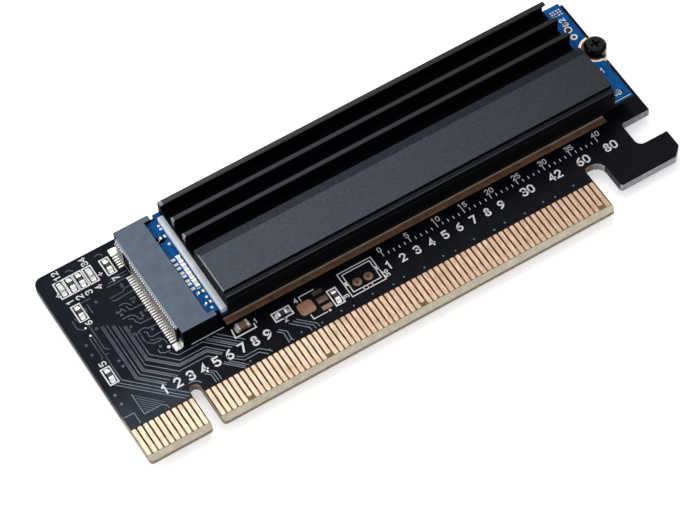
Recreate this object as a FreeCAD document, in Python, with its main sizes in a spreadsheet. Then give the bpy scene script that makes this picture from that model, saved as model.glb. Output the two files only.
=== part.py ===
import FreeCAD, Part
import math
import os
import Sketcher

# M.2 solid-state-drive adapter card for a PCI Express x16 slot, in millimetres.
# Origin: middle of the key notch in X, tip of the edge connector in Y, back face of the board in Z.
# +X runs along the edge connector, +Y from its tip to the top edge, +Z out of the component side.

DIMENSIONS = {
    # adapter board outline; its right edge follows the drive's far end and its top edge the drive's far side
    "board_thick": 1.6,
    "board_reach_left": 11.9,
    "board_past_drive": 1.86,
    "board_above_drive": 1.48,
    "board_corner": 1.5,
    "tongue_corner": 0.6,
    "key_wide": 1.9,
    "key_tall": 8.25,
    "bevel_tall": 1.0,
    "bevel_deep": 0.4,
    # gap beside the tongue and the retention hook
    "hook_wide": 11.98,
    "gap_wide": 3.2,
    "gap_tall": 9.1,
    "gap_corner_near": 0.7,
    "gap_corner_far": 1.9,
    "hook_low": 3.1,
    "hook_corner": 0.5,
    "hook_chamfer": 1.6,
    "catch_low": 8.03,
    "catch_wide": 5.07,
    "catch_deep": 5.38,
    "catch_corner": 1.2,
    "catch_corner_high": 0.6,
    # edge contacts; as many as fit between the key and the tongue's ends
    "contact_pitch": 1.0,
    "contact_wide": 0.7,
    "contact_above_bevel": 0.05,
    "contact_tall": 5.2,
    "contact_short": 0.7,
    "contact_edge_left": 0.05,
    "contact_edge_right": 0.25,
    "copper_thick": 0.035,
    # plated holes
    "mask_gap": 0.3,
    "stand_hole": 2.7,
    "stand_ring": 5.4,
    "header_hole": 1.0,
    "header_ring": 1.55,
    "header_left": 30.9,
    "header_pitch": 2.0,
    "header_above_contacts": 4.25,
    # bare copper under the drive
    "copper_above_header": 4.25,
    "copper_in_left": 4.48,
    "copper_in_right": 5.12,
    "copper_past_near": 0.2,
    "copper_past_far": 0.35,
    # drive card; its width follows its contacts
    "drive_long": 80.0,
    "drive_thick": 0.8,
    "drive_start": 5.42,
    "drive_gap": 2.45,
    "drive_contact_pitch": 0.5,
    "drive_pin_wide": 0.35,
    "drive_pin_long": 2.0,
    "drive_pin_start": 0.15,
    "drive_tab_edge": 0.675,
    "drive_tab_step": 1.075,
    "drive_tab_long": 3.9,
    "drive_key_wide": 1.2,
    "drive_key_deep": 3.5,
    "drive_notch": 3.5,
    "drive_ring": 5.4,
    # socket
    "socket_reach": 3.47,
    "socket_deep": 5.4,
    "socket_cover": 0.67,
    "socket_arm": 1.2,
    "socket_arm_wide": 0.98,
    "socket_bevel": 0.3,
    "socket_mouth_gap": 0.06,
    "socket_mouth_side": 0.08,
    "socket_key_gap": 0.15,
    "socket_peg": 1.1,
    "socket_peg_in": 1.1,
    "socket_peg_short": 0.2,
    "tab_wide": 1.2,
    "tab_notch": 0.45,
    "tab_tall": 0.95,
    # spring contacts
    "pin_wide": 0.25,
    "pin_thick": 0.15,
    "pin_foot": 0.95,
    "pin_inset": 0.15,
    "pin_open": 2.8,
    "pin_side_gap": 0.05,
    "pin_over_drive": 0.27,
    "pin_under_drive": 0.45,
    "pin_root": 1.6,
    "pin_touch": 1.1,
    "pin_ramp": 0.6,
    "pin_hook": 0.2,
    "pin_hook_rise": 0.1,
    "pin_back_ramp": 0.35,
    # chip parts of the board and of the drive
    "chip_rim": 0.03,
    "chip_long": 1.6,
    "chip_wide": 0.8,
    "chip_high": 0.45,
    "chip_cap": 0.3,
    "bulk_long": 2.0,
    "bulk_wide": 1.25,
    "bulk_high": 0.85,
    "bulk_cap": 0.45,
    "small_long": 1.5,
    "small_wide": 0.75,
    "small_high": 0.45,
    "small_cap": 0.34,
    "tiny_long": 1.0,
    "tiny_wide": 0.5,
    "tiny_high": 0.3,
    "tiny_cap": 0.225,
    "light_carrier": 0.25,
    "light_lens": 0.35,
    "light_lens_long": 1.0,
    "light_chamfer": 0.12,
    # drive chips and thermal pad
    "chip_tall": 0.8,
    "chip_edge": 0.08,
    "pad_tall": 1.1,
    "pad_past_sink": 0.95,
    "pad_in_right": 0.4,
    "pad_in_far": 0.8,
    # heat sink; it follows the drive's length and width
    "sink_in_left": 5.03,
    "sink_in_right": 3.77,
    "sink_past_near": 0.37,
    "sink_in_far": 0.23,
    "sink_tall": 3.55,
    "sink_web": 0.95,
    "lip_thick": 0.54,
    "lip_drop": 1.0,
    "fin_thick": 0.93,
    "fin_pitch": 3.57,
    "fin_lean": 1.07,
    "fin_lean_tall": 1.8,
    "fin_round": 0.25,
    "fin_end_cut": 0.22,
    "block_near": 1.08,
    "block_wide": 9.22,
    "block_bevel_wide": 1.7,
    "block_bevel_drop": 0.35,
    "ledge_drop": 0.7,
    "ledge_edge": 0.16,
    "lower_ledge_drop": 1.75,
    "score_off": 0.5,
    "score_wide": 0.1,
    "score_deep": 0.12,
    # standoff, its nut and the drive screw
    "stud_gap": 0.1,
    "stand_seat": 0.25,
    "stand_bore": 1.6,
    "nut_wide": 4.6,
    "nut_tall": 1.2,
    "screw_lap": 0.1,
    "screw_head_tall": 1.3,
    "screw_long": 2.2,
    "recess_long": 1.7,
    "recess_wide": 0.42,
    "recess_deep": 0.5,
}

SHEET = "Dimensions"
# contacts set back from the tip, counted from the left end
FRONT_SHORT_PINS = (17, 31, 48, 81)
BACK_SHORT_PINS = (1,)
SLOT_PIN_COUNT = 75
SLOT_KEY_PINS = range(59, 67)
SPARE_DRIVE_LENGTHS = (30.0, 42.0, 60.0)
FIN_COUNT = 3
RING_SIDES = 28
SMALL_RING_SIDES = 16

# (x, y) of the chip parts on the board, and whether each lies along X; y counts from the board's top edge
LIGHTS = ((-8.65, -3.93, False), (-3.5, -3.93, False))
LIGHT_RESISTORS = ((-6.95, -3.93, False), (-5.3, -3.93, False))
SIGNAL_RESISTORS = ((-0.45, -4.03, False), (-8.3, -9.23, False), (-9.9, -21.83, False))
# here y counts from the middle of the header's holes
SUPPLY_RESISTORS = ((18.1, 1.3, True), (26.7, -0.5, False))
SUPPLY_CAPACITOR = ((11.75, 2.6, True),)
# low corner, size and corner radius of each bare pad of the footprint left unfitted, y from the same line
UNFITTED_PADS = ((20.5, -0.95, 2.65, 2.4, 0.6), (23.8, -1.7, 1.75, 0.8, 0),
                 (23.8, -0.25, 1.75, 1.05, 0), (23.8, 1.45, 1.75, 0.75, 0))
# left end from the drive's start, or from its far end if below zero; low edge from the drive's middle;
# size along X and Y
DRIVE_CHIPS = {
    "ssd_controller": ((10.0, -5.5, 11.0, 11.0),),
    "ssd_cache_chip": ((22.0, -5.5, 8.0, 11.0),),
    "ssd_memory_chips": ((-41.5, -7.0, 14.0, 14.0), (-23.5, -7.0, 14.0, 14.0)),
}
# x from the thermal pad's near end, y from the drive's middle, and whether each lies along X
DRIVE_CAPACITORS = ((-0.68, 1.25, False), (-0.68, -0.6, False), (-0.68, -2.3, False), (-0.68, -4.0, False))
DRIVE_RESISTORS = ((-0.85, 6.3, True), (-0.85, -5.8, True), (-0.85, -8.1, True))


class Length:
    """A size that knows its value and the spreadsheet expression that gives it."""

    def __init__(self, value, text=None):
        self.value = float(value)
        self.text = repr(self.value) if text is None else text

    def __add__(self, other):
        other = as_length(other)
        return Length(self.value + other.value, f"({self.text} + {other.text})")

    def __sub__(self, other):
        other = as_length(other)
        return Length(self.value - other.value, f"({self.text} - {other.text})")

    def __mul__(self, factor):
        return Length(self.value * factor, f"({self.text} * {factor})")

    def __truediv__(self, divisor):
        return Length(self.value / divisor, f"({self.text} / {divisor})")

    def __neg__(self):
        return Length(-self.value, f"(0 - {self.text})")


def as_length(size):
    return size if isinstance(size, Length) else Length(size)


doc = FreeCAD.newDocument("AdapterCard")


def write_sheet():
    """Put every driving dimension in the spreadsheet and return them as lengths."""
    sheet = doc.addObject("Spreadsheet::Sheet", SHEET)
    for row, (name, value) in enumerate(DIMENSIONS.items(), start=1):
        sheet.set(f"A{row}", name)
        sheet.set(f"B{row}", str(value))
        sheet.setAlias(f"B{row}", name)
    doc.recompute()
    return {name: Length(getattr(sheet, name), f"{SHEET}.{name}") for name in DIMENSIONS}


size = write_sheet()
vector = FreeCAD.Vector
sub_parts = []


# ---------------------------------------------------------------- helpers

def keep(feature, label):
    """Name a finished sub-part after the node it becomes."""
    feature.Label = label
    sub_parts.append(feature)
    return feature


def bind(feature, property_name, length):
    feature.setExpression(property_name, as_length(length).text)


def new_body(label):
    body = doc.addObject("PartDesign::Body", "Body_" + label)
    return keep(body, label)


def origin_plane(body, role):
    return next(plane for plane in body.Origin.OriginFeatures if plane.Role == role)


def new_sketch(body, name, role, offset=None):
    """A sketch on one of the body's own planes, moved along its normal by an offset."""
    sketch = body.newObject("Sketcher::SketchObject", name)
    sketch.AttachmentSupport = (origin_plane(body, role), [""])
    sketch.MapMode = "FlatFace"
    if offset is not None:
        bind(sketch, "AttachmentOffset.Base.z", offset)
    return sketch


def fix_point(sketch, geometry, position, across, up):
    """Hold one point of a sketch at two distances from the sketch's origin."""
    for kind, length in (("DistanceX", across), ("DistanceY", up)):
        length = as_length(length)
        index = sketch.addConstraint(
            Sketcher.Constraint(kind, -1, 1, geometry, position, length.value))
        sketch.setExpression(f"Constraints[{index}]", length.text)


def polygon(sketch, points):
    """A closed outline of straight lines through points given as lengths."""
    corners = [(as_length(across), as_length(up)) for across, up in points]
    count = len(corners)
    lines = []
    for index, (across, up) in enumerate(corners):
        next_across, next_up = corners[(index + 1) % count]
        lines.append(sketch.addGeometry(Part.LineSegment(
            vector(across.value, up.value, 0), vector(next_across.value, next_up.value, 0))))
    for index, line in enumerate(lines):
        sketch.addConstraint(Sketcher.Constraint("Coincident", line, 2, lines[(index + 1) % count], 1))
    for line, (across, up) in zip(lines, corners):
        fix_point(sketch, line, 1, across, up)


def rectangle(sketch, left, low, wide, tall):
    right = as_length(left) + wide
    high = as_length(low) + tall
    polygon(sketch, ((left, low), (right, low), (right, high), (left, high)))


def circle(sketch, across, up, diameter):
    diameter = as_length(diameter)
    across = as_length(across)
    up = as_length(up)
    middle = vector(across.value, up.value, 0)
    ring = sketch.addGeometry(Part.Circle(middle, vector(0, 0, 1), diameter.value / 2))
    index = sketch.addConstraint(Sketcher.Constraint("Diameter", ring, diameter.value))
    sketch.setExpression(f"Constraints[{index}]", diameter.text)
    fix_point(sketch, ring, 3, across, up)


def pad(body, sketch, length, name="Pad"):
    feature = body.newObject("PartDesign::Pad", name)
    feature.Profile = sketch
    bind(feature, "Length", length)
    doc.recompute()
    return feature


def cut_through(body, sketch, name):
    """A pocket through the whole body in both directions; it must remove material."""
    before = body.Tip.Shape.Volume
    feature = body.newObject("PartDesign::Pocket", name)
    feature.Profile = sketch
    feature.Type = "ThroughAll"
    feature.SideType = "Symmetric"
    doc.recompute()
    if feature.Shape.Volume >= before:
        raise ValueError(f"{name} removes nothing")
    return feature


def upright_edges(shape, places):
    """Names of the edges that run along Z through the given (x, y) places."""
    names = []
    for index, edge in enumerate(shape.Edges, start=1):
        box = edge.BoundBox
        if box.XLength > 1e-4 or box.YLength > 1e-4:
            continue
        for across, up in places:
            if abs(box.XMin - as_length(across).value) < 1e-3 and abs(box.YMin - as_length(up).value) < 1e-3:
                names.append(f"Edge{index}")
    return names


def round_corners(body, radius, places, name, kind="Fillet"):
    feature = body.newObject("PartDesign::" + kind, name)
    feature.Base = (feature.BaseFeature, upright_edges(feature.BaseFeature.Shape, places))
    bind(feature, "Radius" if kind == "Fillet" else "Size", radius)
    doc.recompute()
    return feature


def box_solid(left, low, bottom, wide, tall, high):
    return Part.makeBox(wide, tall, high, vector(left, low, bottom))


def prism(points, low, wide):
    """A solid with an outline in the XZ plane, standing from low to low + wide along Y."""
    corners = [vector(across, low, up) for across, up in points]
    face = Part.Face(Part.makePolygon(corners + corners[:1]))
    return face.extrude(vector(0, wide, 0))


def computed(label, solids):
    """A sub-part of many like solids, worked out from the spreadsheet's sizes."""
    feature = doc.addObject("Part::Feature", "Group_" + label)
    feature.Shape = solids[0] if len(solids) == 1 else Part.makeCompound(solids)
    return keep(feature, label)


# ---------------------------------------------------------------- shared places

board_left = -size["board_reach_left"]
board_front = size["board_thick"]
key_half = size["key_wide"] / 2

# along X: drive, board's right edge, hook, gap and tongue
drive_end = size["drive_start"] + size["drive_long"]
board_right = drive_end + size["board_past_drive"]
gap_right = board_right - size["hook_wide"]
tongue_reach = gap_right - size["gap_wide"]
catch_left = board_right - size["catch_deep"]
sink_left = size["drive_start"] + size["sink_in_left"]
sink_right = drive_end - size["sink_in_right"]
socket_back = size["drive_start"] - size["socket_reach"]
socket_front = socket_back + size["socket_deep"]
pad_left = sink_left - size["pad_past_sink"]

# along Y: edge contacts, header, bare copper, drive and the board's top edge
contact_low = size["bevel_tall"] + size["contact_above_bevel"]
header_up = contact_low + size["contact_tall"] + size["header_above_contacts"]
copper_low = header_up + size["copper_above_header"]
drive_low = copper_low + size["copper_past_near"]
drive_tab_wide = size["drive_contact_pitch"] * ((SLOT_PIN_COUNT - 1) / 2) + size["drive_tab_edge"] * 2
drive_wide = drive_tab_wide + size["drive_tab_step"] * 2
drive_high = drive_low + drive_wide
drive_middle = drive_low + drive_wide / 2
board_tall = drive_high + size["board_above_drive"]
catch_high = size["catch_low"] + size["catch_wide"]
socket_long = drive_tab_wide + (size["socket_mouth_side"] + size["socket_arm_wide"]) * 2
key_pin = (SLOT_KEY_PINS.start + SLOT_KEY_PINS.stop - 1) / 2 - (SLOT_PIN_COUNT + 1) / 2
key_middle = drive_middle + size["drive_contact_pitch"] * (key_pin / 2)

# along Z: drive, socket and heat sink
drive_back = board_front + size["drive_gap"]
drive_front = drive_back + size["drive_thick"]
pad_front = drive_front + size["pad_tall"]
socket_top = drive_front + size["socket_cover"]

# what passes through or seats round the drive's screw notch
stud_wide = size["stand_hole"] - size["stud_gap"] * 2
stand_body = size["drive_notch"] + size["stand_seat"] * 2
screw_head = size["drive_notch"] + size["screw_lap"] * 2


def spare_hole_places():
    """Middles of the plated holes for shorter drives, as values."""
    start = size["drive_start"].value
    return [(start + length, drive_middle.value) for length in SPARE_DRIVE_LENGTHS]


def header_places():
    left = size["header_left"]
    return [(left, header_up), (left + size["header_pitch"], header_up)]


# ---------------------------------------------------------------- adapter board

def build_adapter_board():
    body = new_body("adapter_board")
    right = board_right
    tall = board_tall

    outline = new_sketch(body, "BoardOutline", "XY_Plane")
    rectangle(outline, board_left, 0, right - board_left, tall)
    pad(body, outline, board_front)

    notch = new_sketch(body, "KeyNotch", "XY_Plane")
    rectangle(notch, -key_half, -1, size["key_wide"], size["key_tall"] - key_half + 1)
    cut_through(body, notch, "KeyNotchCut")
    notch_end = new_sketch(body, "KeyNotchEnd", "XY_Plane")
    circle(notch_end, 0, size["key_tall"] - key_half, size["key_wide"])
    cut_through(body, notch_end, "KeyNotchEndCut")

    gap = new_sketch(body, "HookGap", "XY_Plane")
    low = size["hook_low"]
    reach = tongue_reach
    polygon(gap, ((reach, -1), (right + 1, -1), (right + 1, low), (gap_right, low),
                  (gap_right, size["gap_tall"]), (reach, size["gap_tall"])))
    cut_through(body, gap, "HookGapCut")

    catch = new_sketch(body, "CatchSlot", "XY_Plane")
    rectangle(catch, catch_left, size["catch_low"], size["catch_deep"] + 1, size["catch_wide"])
    cut_through(body, catch, "CatchSlotCut")

    round_corners(body, size["board_corner"], ((board_left, tall),), "BoardCorner")
    round_corners(body, size["tongue_corner"],
                  ((board_left, 0), (-key_half, 0), (key_half, 0), (reach, 0)), "TongueCorners")
    round_corners(body, size["gap_corner_near"], ((reach, size["gap_tall"]),), "GapCornerNear")
    round_corners(body, size["gap_corner_far"], ((gap_right, size["gap_tall"]),), "GapCornerFar")
    round_corners(body, size["hook_corner"], ((gap_right, low),), "HookCorner")
    round_corners(body, size["catch_corner"], ((catch_left, size["catch_low"]),), "CatchCornerLow")
    round_corners(body, size["catch_corner_high"], ((catch_left, catch_high),), "CatchCornerHigh")
    round_corners(body, size["hook_chamfer"], ((right, low),), "HookTip", "Chamfer")

    bevels = new_sketch(body, "TongueBevels", "YZ_Plane")
    deep = size["bevel_deep"]
    rise = size["bevel_tall"]
    polygon(bevels, ((0, board_front - deep), (rise, board_front), (0, board_front)))
    polygon(bevels, ((0, 0), (rise, 0), (0, deep)))
    cut_through(body, bevels, "TongueBevelsCut")

    holes = new_sketch(body, "Holes", "XY_Plane")
    for length in SPARE_DRIVE_LENGTHS:
        circle(holes, size["drive_start"] + length, drive_middle, size["stand_hole"])
    circle(holes, drive_end, drive_middle, size["stand_hole"])
    for across, up in header_places():
        circle(holes, across, up, size["header_hole"])
    for across, up in peg_places():
        circle(holes, across, up, size["socket_peg"])
    cut_through(body, holes, "HolesCut")


def peg_places():
    """The two plastic pegs that locate the socket on the board."""
    across = socket_back + size["socket_deep"] / 2
    shift = socket_long / 2 - size["socket_peg_in"]
    return [(across, drive_middle - shift), (across, drive_middle + shift)]


def contacts_within(reach, edge):
    """How many edge contacts fit between the key and an end of the tongue."""
    room = reach.value - size[edge].value - size["contact_wide"].value / 2
    return int(room / size["contact_pitch"].value - 0.5 + 1e-6)


def contact_middles():
    """Distance of each edge contact's middle from the key, along X, from the left end."""
    pitch = size["contact_pitch"].value
    before = contacts_within(size["board_reach_left"], "contact_edge_left")
    after = contacts_within(tongue_reach, "contact_edge_right")
    left = [-(number + 0.5) * pitch for number in range(before, 0, -1)]
    return left + [(number + 0.5) * pitch for number in range(1, after + 1)]


def build_edge_contacts(label, bottom, short_pins):
    wide = size["contact_wide"].value
    solids = []
    for number, across in enumerate(contact_middles(), start=1):
        shorter = size["contact_short"].value if number in short_pins else 0.0
        solids.append(box_solid(across - wide / 2, contact_low.value + shorter, bottom,
                                wide, size["contact_tall"].value - shorter, size["copper_thick"].value))
    computed(label, solids)


def many_sided(across, up, bottom, radius, thick, sides, outside=False):
    """A thin upright disc with flat sides, drawn inside its circle or, when asked, outside it."""
    reach = radius / math.cos(math.pi / sides) if outside else radius
    turns = [2 * math.pi * (number + 0.5) / sides for number in range(sides)]
    corners = [vector(across + reach * math.cos(turn), up + reach * math.sin(turn), bottom) for turn in turns]
    return Part.Face(Part.makePolygon(corners + corners[:1])).extrude(vector(0, 0, thick))


def build_thermal_copper():
    """Bare copper under the drive, clear of the rings round the standoff holes."""
    front = board_front.value
    thick = size["copper_thick"].value
    left = size["drive_start"] + size["copper_in_left"]
    long = drive_end - size["copper_in_right"] - left
    tall = drive_high + size["copper_past_far"] - copper_low
    plate = box_solid(left.value, copper_low.value, front, long.value, tall.value, thick)
    clear = size["stand_ring"].value / 2 + size["mask_gap"].value
    for across, up in spare_hole_places() + [(drive_end.value, drive_middle.value)]:
        plate = plate.cut(many_sided(across, up, front, clear, thick, RING_SIDES, True))
    computed("thermal_copper", [plate])


def hole_rings(across, up, hole, ring, sides):
    """The flat rings of one plated hole, one on each face of the board."""
    copper = size["copper_thick"].value
    solids = []
    for bottom in (-copper, board_front.value):
        disc = many_sided(across, up, bottom, ring / 2, copper, sides)
        solids.append(disc.cut(many_sided(across, up, bottom, hole / 2, copper, sides, True)))
    return solids


def build_hole_rings():
    hole = size["stand_hole"].value
    ring = size["stand_ring"].value
    middle = drive_middle.value
    spare = [solid for across, up in spare_hole_places()
             for solid in hole_rings(across, up, hole, ring, RING_SIDES)]
    computed("spare_hole_rings", spare)
    beyond = box_solid(board_right.value, middle - ring, -1, ring, 2 * ring, board_front.value + 2)
    computed("used_hole_rings",
             [solid.cut(beyond) for solid in hole_rings(drive_end.value, middle, hole, ring, RING_SIDES)])
    hole = size["header_hole"].value
    ring = size["header_ring"].value
    rings = [solid for across, up in header_places()
             for solid in hole_rings(across.value, up.value, hole, ring, SMALL_RING_SIDES)]
    computed("header_hole_rings", rings)


def build_board_pads():
    """The bare pads of the footprint left unfitted; only the large one has round corners."""
    front = board_front.value
    thick = size["copper_thick"].value
    solids = []
    for left, low, wide, tall, corner in UNFITTED_PADS:
        solid = box_solid(left, header_up.value + low, front, wide, tall, thick)
        if corner:
            uprights = [edge for edge in solid.Edges if edge.BoundBox.ZLength > thick / 2]
            solid = solid.makeFillet(corner, uprights)
        solids.append(solid)
    computed("unfitted_pads", solids)


# ---------------------------------------------------------------- chip parts

def chip_part(place, kind, bottom):
    """A ceramic chip part of one kind: a body with a slightly larger metal cap on each end."""
    across, up, along_x = place
    long, wide, tall, cap = (size[f"{kind}_{name}"].value for name in ("long", "wide", "high", "cap"))
    rim = size["chip_rim"].value
    body = box_solid(-long / 2 + rim, -wide / 2 + rim, 0, long - 2 * rim, wide - 2 * rim, tall - rim)
    for left in (-long / 2, long / 2 - cap):
        body = body.fuse(box_solid(left, -wide / 2, 0, cap, wide, tall))
    body = body.removeSplitter()
    if not along_x:
        body.rotate(vector(0, 0, 0), vector(0, 0, 1), 90)
    body.translate(vector(across, up, bottom))
    return body


def light_part(place):
    """A chip light: a thin carrier with a clear domed block on top."""
    across, up, along_x = place
    long = size["chip_long"].value
    wide = size["chip_wide"].value
    low = size["light_carrier"].value
    lens_long = size["light_lens_long"].value
    carrier = box_solid(-long / 2, -wide / 2, 0, long, wide, low)
    lens = box_solid(-lens_long / 2, -wide / 2, low, lens_long, wide, size["light_lens"].value)
    tops = [edge for edge in lens.Edges if edge.BoundBox.ZMin > low and edge.BoundBox.XLength < 0.01]
    lens = lens.makeChamfer(size["light_chamfer"].value, tops)
    body = carrier.fuse(lens).removeSplitter()
    if not along_x:
        body.rotate(vector(0, 0, 0), vector(0, 0, 1), 90)
    body.translate(vector(across, up, board_front.value))
    return body


def raised(places, line):
    """Places whose y counts from a line of the board, as places on the board."""
    return [(across, line.value + up, along_x) for across, up, along_x in places]


def build_chip_parts():
    front = board_front.value
    computed("status_lights", [light_part(place) for place in raised(LIGHTS, board_tall)])
    groups = (
        ("light_resistors", LIGHT_RESISTORS, board_tall, "chip"),
        ("signal_resistors", SIGNAL_RESISTORS, board_tall, "chip"),
        ("supply_resistors", SUPPLY_RESISTORS, header_up, "chip"),
        ("supply_capacitor", SUPPLY_CAPACITOR, header_up, "bulk"),
    )
    for label, places, line, kind in groups:
        computed(label, [chip_part(place, kind, front) for place in raised(places, line)])


# ---------------------------------------------------------------- drive card

def build_ssd_board():
    body = new_body("ssd_board")
    start = size["drive_start"]
    middle = drive_middle
    half = drive_wide / 2
    tab_half = drive_tab_wide / 2
    shoulder = start + size["drive_tab_long"]

    outline = new_sketch(body, "DriveOutline", "XY_Plane", drive_back)
    polygon(outline, ((start, middle - tab_half), (shoulder, middle - tab_half), (shoulder, middle - half),
                      (drive_end, middle - half), (drive_end, middle + half), (shoulder, middle + half),
                      (shoulder, middle + tab_half), (start, middle + tab_half)))
    pad(body, outline, size["drive_thick"])

    key = new_sketch(body, "DriveKey", "XY_Plane", drive_back)
    key_wide = size["drive_key_wide"]
    rectangle(key, start - 1, key_middle - key_wide / 2, size["drive_key_deep"] - key_wide / 2 + 1, key_wide)
    cut_through(body, key, "DriveKeyCut")
    key_end = new_sketch(body, "DriveKeyEnd", "XY_Plane", drive_back)
    circle(key_end, start + size["drive_key_deep"] - key_wide / 2, key_middle, key_wide)
    cut_through(body, key_end, "DriveKeyEndCut")
    notch = new_sketch(body, "DriveScrewNotch", "XY_Plane", drive_back)
    circle(notch, drive_end, middle, size["drive_notch"])
    cut_through(body, notch, "DriveScrewNotchCut")


def slot_pins(upper):
    """Y of each contact row's middle: odd pins above the drive, even pins below it."""
    first = 1 if upper else 2
    lowest = drive_middle.value - size["drive_contact_pitch"].value * (SLOT_PIN_COUNT - 1) / 4
    step = size["drive_contact_pitch"].value / 2
    return [lowest + step * (number - 1) for number in range(first, SLOT_PIN_COUNT + 1, 2)
            if number not in SLOT_KEY_PINS]


def build_ssd_contacts():
    wide = size["drive_pin_wide"].value
    thick = size["copper_thick"].value
    for label, upper in (("ssd_upper_contacts", True), ("ssd_lower_contacts", False)):
        bottom = drive_front.value if upper else drive_back.value - thick
        left = (size["drive_start"] + size["drive_pin_start"]).value
        long = size["drive_pin_long"].value
        computed(label, [box_solid(left, middle - wide / 2, bottom, long, wide, thick)
                         for middle in slot_pins(upper)])


def build_ssd_screw_ring():
    """The plated half rings round the drive's screw notch, one on each face."""
    end = drive_end.value
    middle = drive_middle.value
    thick = size["copper_thick"].value
    outer = size["drive_ring"].value / 2
    inner = size["drive_notch"].value / 2
    solids = []
    for bottom in (drive_back.value - thick, drive_front.value):
        ring = many_sided(end, middle, bottom, outer, thick, RING_SIDES)
        ring = ring.cut(many_sided(end, middle, bottom, inner, thick, RING_SIDES, True))
        solids.append(ring.cut(box_solid(end, middle - outer - 1, bottom, outer + 1, 2 * outer + 2, thick)))
    computed("ssd_screw_rings", solids)


def build_drive_chips():
    middle = drive_middle.value
    front = drive_front.value
    for label, chips in DRIVE_CHIPS.items():
        solids = []
        for place, low, wide, tall in chips:
            left = place + (drive_end if place < 0 else size["drive_start"]).value
            solid = box_solid(left, middle + low, front, wide, tall, size["chip_tall"].value)
            tops = [edge for edge in solid.Edges if edge.BoundBox.ZMin > front + size["chip_edge"].value]
            solids.append(solid.makeChamfer(size["chip_edge"].value, tops))
        computed(label, solids)
    for label, places, kind in (("ssd_capacitors", DRIVE_CAPACITORS, "small"),
                                ("ssd_resistors", DRIVE_RESISTORS, "tiny")):
        computed(label, [chip_part((pad_left.value + across, middle + up, along_x), kind, front)
                         for across, up, along_x in places])


def build_thermal_pad():
    """A soft sheet pressed down round the drive's chips."""
    low = drive_low - size["sink_past_near"] + size["lip_thick"]
    high = drive_high - size["sink_in_far"] - size["lip_thick"] - size["pad_in_far"]
    long = sink_right - size["pad_in_right"] - pad_left
    sheet = box_solid(pad_left.value, low.value, drive_front.value,
                      long.value, (high - low).value, size["pad_tall"].value)
    for part in sub_parts:
        if part.Label in DRIVE_CHIPS:
            sheet = sheet.cut(part.Shape)
    computed("thermal_pad", [sheet])


# ---------------------------------------------------------------- socket

def build_socket():
    """The housing: a block with two arms, a keyed mouth, and slots and rooms for the contacts."""
    back = socket_back.value
    front = socket_front.value
    arm_front = front + size["socket_arm"].value
    base = board_front.value
    top = socket_top.value
    half = socket_long.value / 2
    middle = drive_middle.value
    bevel = size["socket_bevel"].value
    gap = size["socket_mouth_gap"].value
    inner_half = half - size["socket_arm_wide"].value
    mouth_back = size["drive_start"].value
    mouth_low = drive_back.value - gap
    mouth_tall = size["drive_thick"].value + 2 * gap

    block = prism(((back, base), (arm_front, base), (arm_front, top), (back + bevel, top),
                   (back, top - bevel)), middle - half, 2 * half)
    inner_low = middle - inner_half
    block = block.cut(box_solid(front, inner_low, base, arm_front - front + 1, 2 * inner_half, top - base))
    mouth = box_solid(mouth_back, inner_low, mouth_low, arm_front - back, 2 * inner_half, mouth_tall)
    key_wide = size["drive_key_wide"].value - 2 * size["socket_key_gap"].value
    key = box_solid(mouth_back, key_middle.value - key_wide / 2, mouth_low,
                    front - mouth_back - bevel, key_wide, mouth_tall)
    block = block.cut(mouth.cut(key))
    for low in tab_lows():
        block = block.cut(box_solid(back - 1, low, base - 1, 1 + size["tab_notch"].value,
                                    size["tab_wide"].value, top - base + 2))
    block = block.cut(Part.makeCompound(contact_slots())).cut(Part.makeCompound(contact_rooms()))
    short = size["socket_peg_short"].value
    for across, up in peg_places():
        place = vector(across.value, up.value, short)
        block = block.fuse(Part.makeCylinder(size["socket_peg"].value / 2, base - short, place))
    computed("socket_housing", [block.removeSplitter()])
    for label, upper in (("socket_upper_contacts", True), ("socket_lower_contacts", False)):
        computed(label, socket_contacts(upper))
    computed("socket_solder_tabs", solder_tabs())


def contact_profile(upper):
    """Outline of one spring contact, in the XZ plane."""
    base = board_front.value
    thick = size["pin_thick"].value
    back = socket_back.value
    copper = size["copper_thick"].value
    touch = size["drive_start"].value + size["pin_touch"].value
    slope = touch - size["pin_ramp"].value
    hook = touch + size["pin_hook"].value
    hook_rise = size["pin_hook_rise"].value
    back_slope = touch - size["pin_back_ramp"].value
    if upper:
        arm = drive_front.value + size["pin_over_drive"].value
        low = drive_front.value + copper
        foot = back - size["pin_foot"].value
        rise = back + size["pin_inset"].value
        return ((foot, base), (rise + thick, base), (rise + thick, arm), (slope, arm), (touch, low),
                (hook, low + hook_rise), (back_slope, arm + thick), (rise, arm + thick),
                (rise, base + thick), (foot, base + thick))
    arm = drive_back.value - size["pin_under_drive"].value
    high = drive_back.value - copper
    foot = socket_front.value + size["pin_foot"].value
    rise = back + size["pin_root"].value
    return ((foot, base), (foot, base + thick), (rise + thick, base + thick), (rise + thick, arm - thick),
            (back_slope, arm - thick), (hook, high - hook_rise), (touch, high), (slope, arm),
            (rise, arm), (rise, base))


def socket_contacts(upper):
    wide = size["pin_wide"].value
    profile = contact_profile(upper)
    return [prism(profile, middle - wide / 2, wide) for middle in slot_pins(upper)]


def contact_slots():
    """Slots in the rear wall, one for each upper contact, open to the rear low down and closed above."""
    base = board_front.value
    back = socket_back.value
    thick = size["pin_thick"].value
    wide = size["pin_wide"].value + 2 * size["pin_side_gap"].value
    high = drive_front.value + size["pin_over_drive"].value + thick
    rise = back + size["pin_inset"].value
    cover = base + size["pin_open"].value
    inner = size["drive_start"].value + 2 * size["pin_side_gap"].value
    profile = ((back - 1, base - 1), (rise + thick, base - 1), (rise + thick, drive_front.value),
               (inner, drive_front.value), (inner, high), (rise, high), (rise, cover), (back - 1, cover))
    return [prism(profile, middle - wide / 2, wide) for middle in slot_pins(True)]


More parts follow.
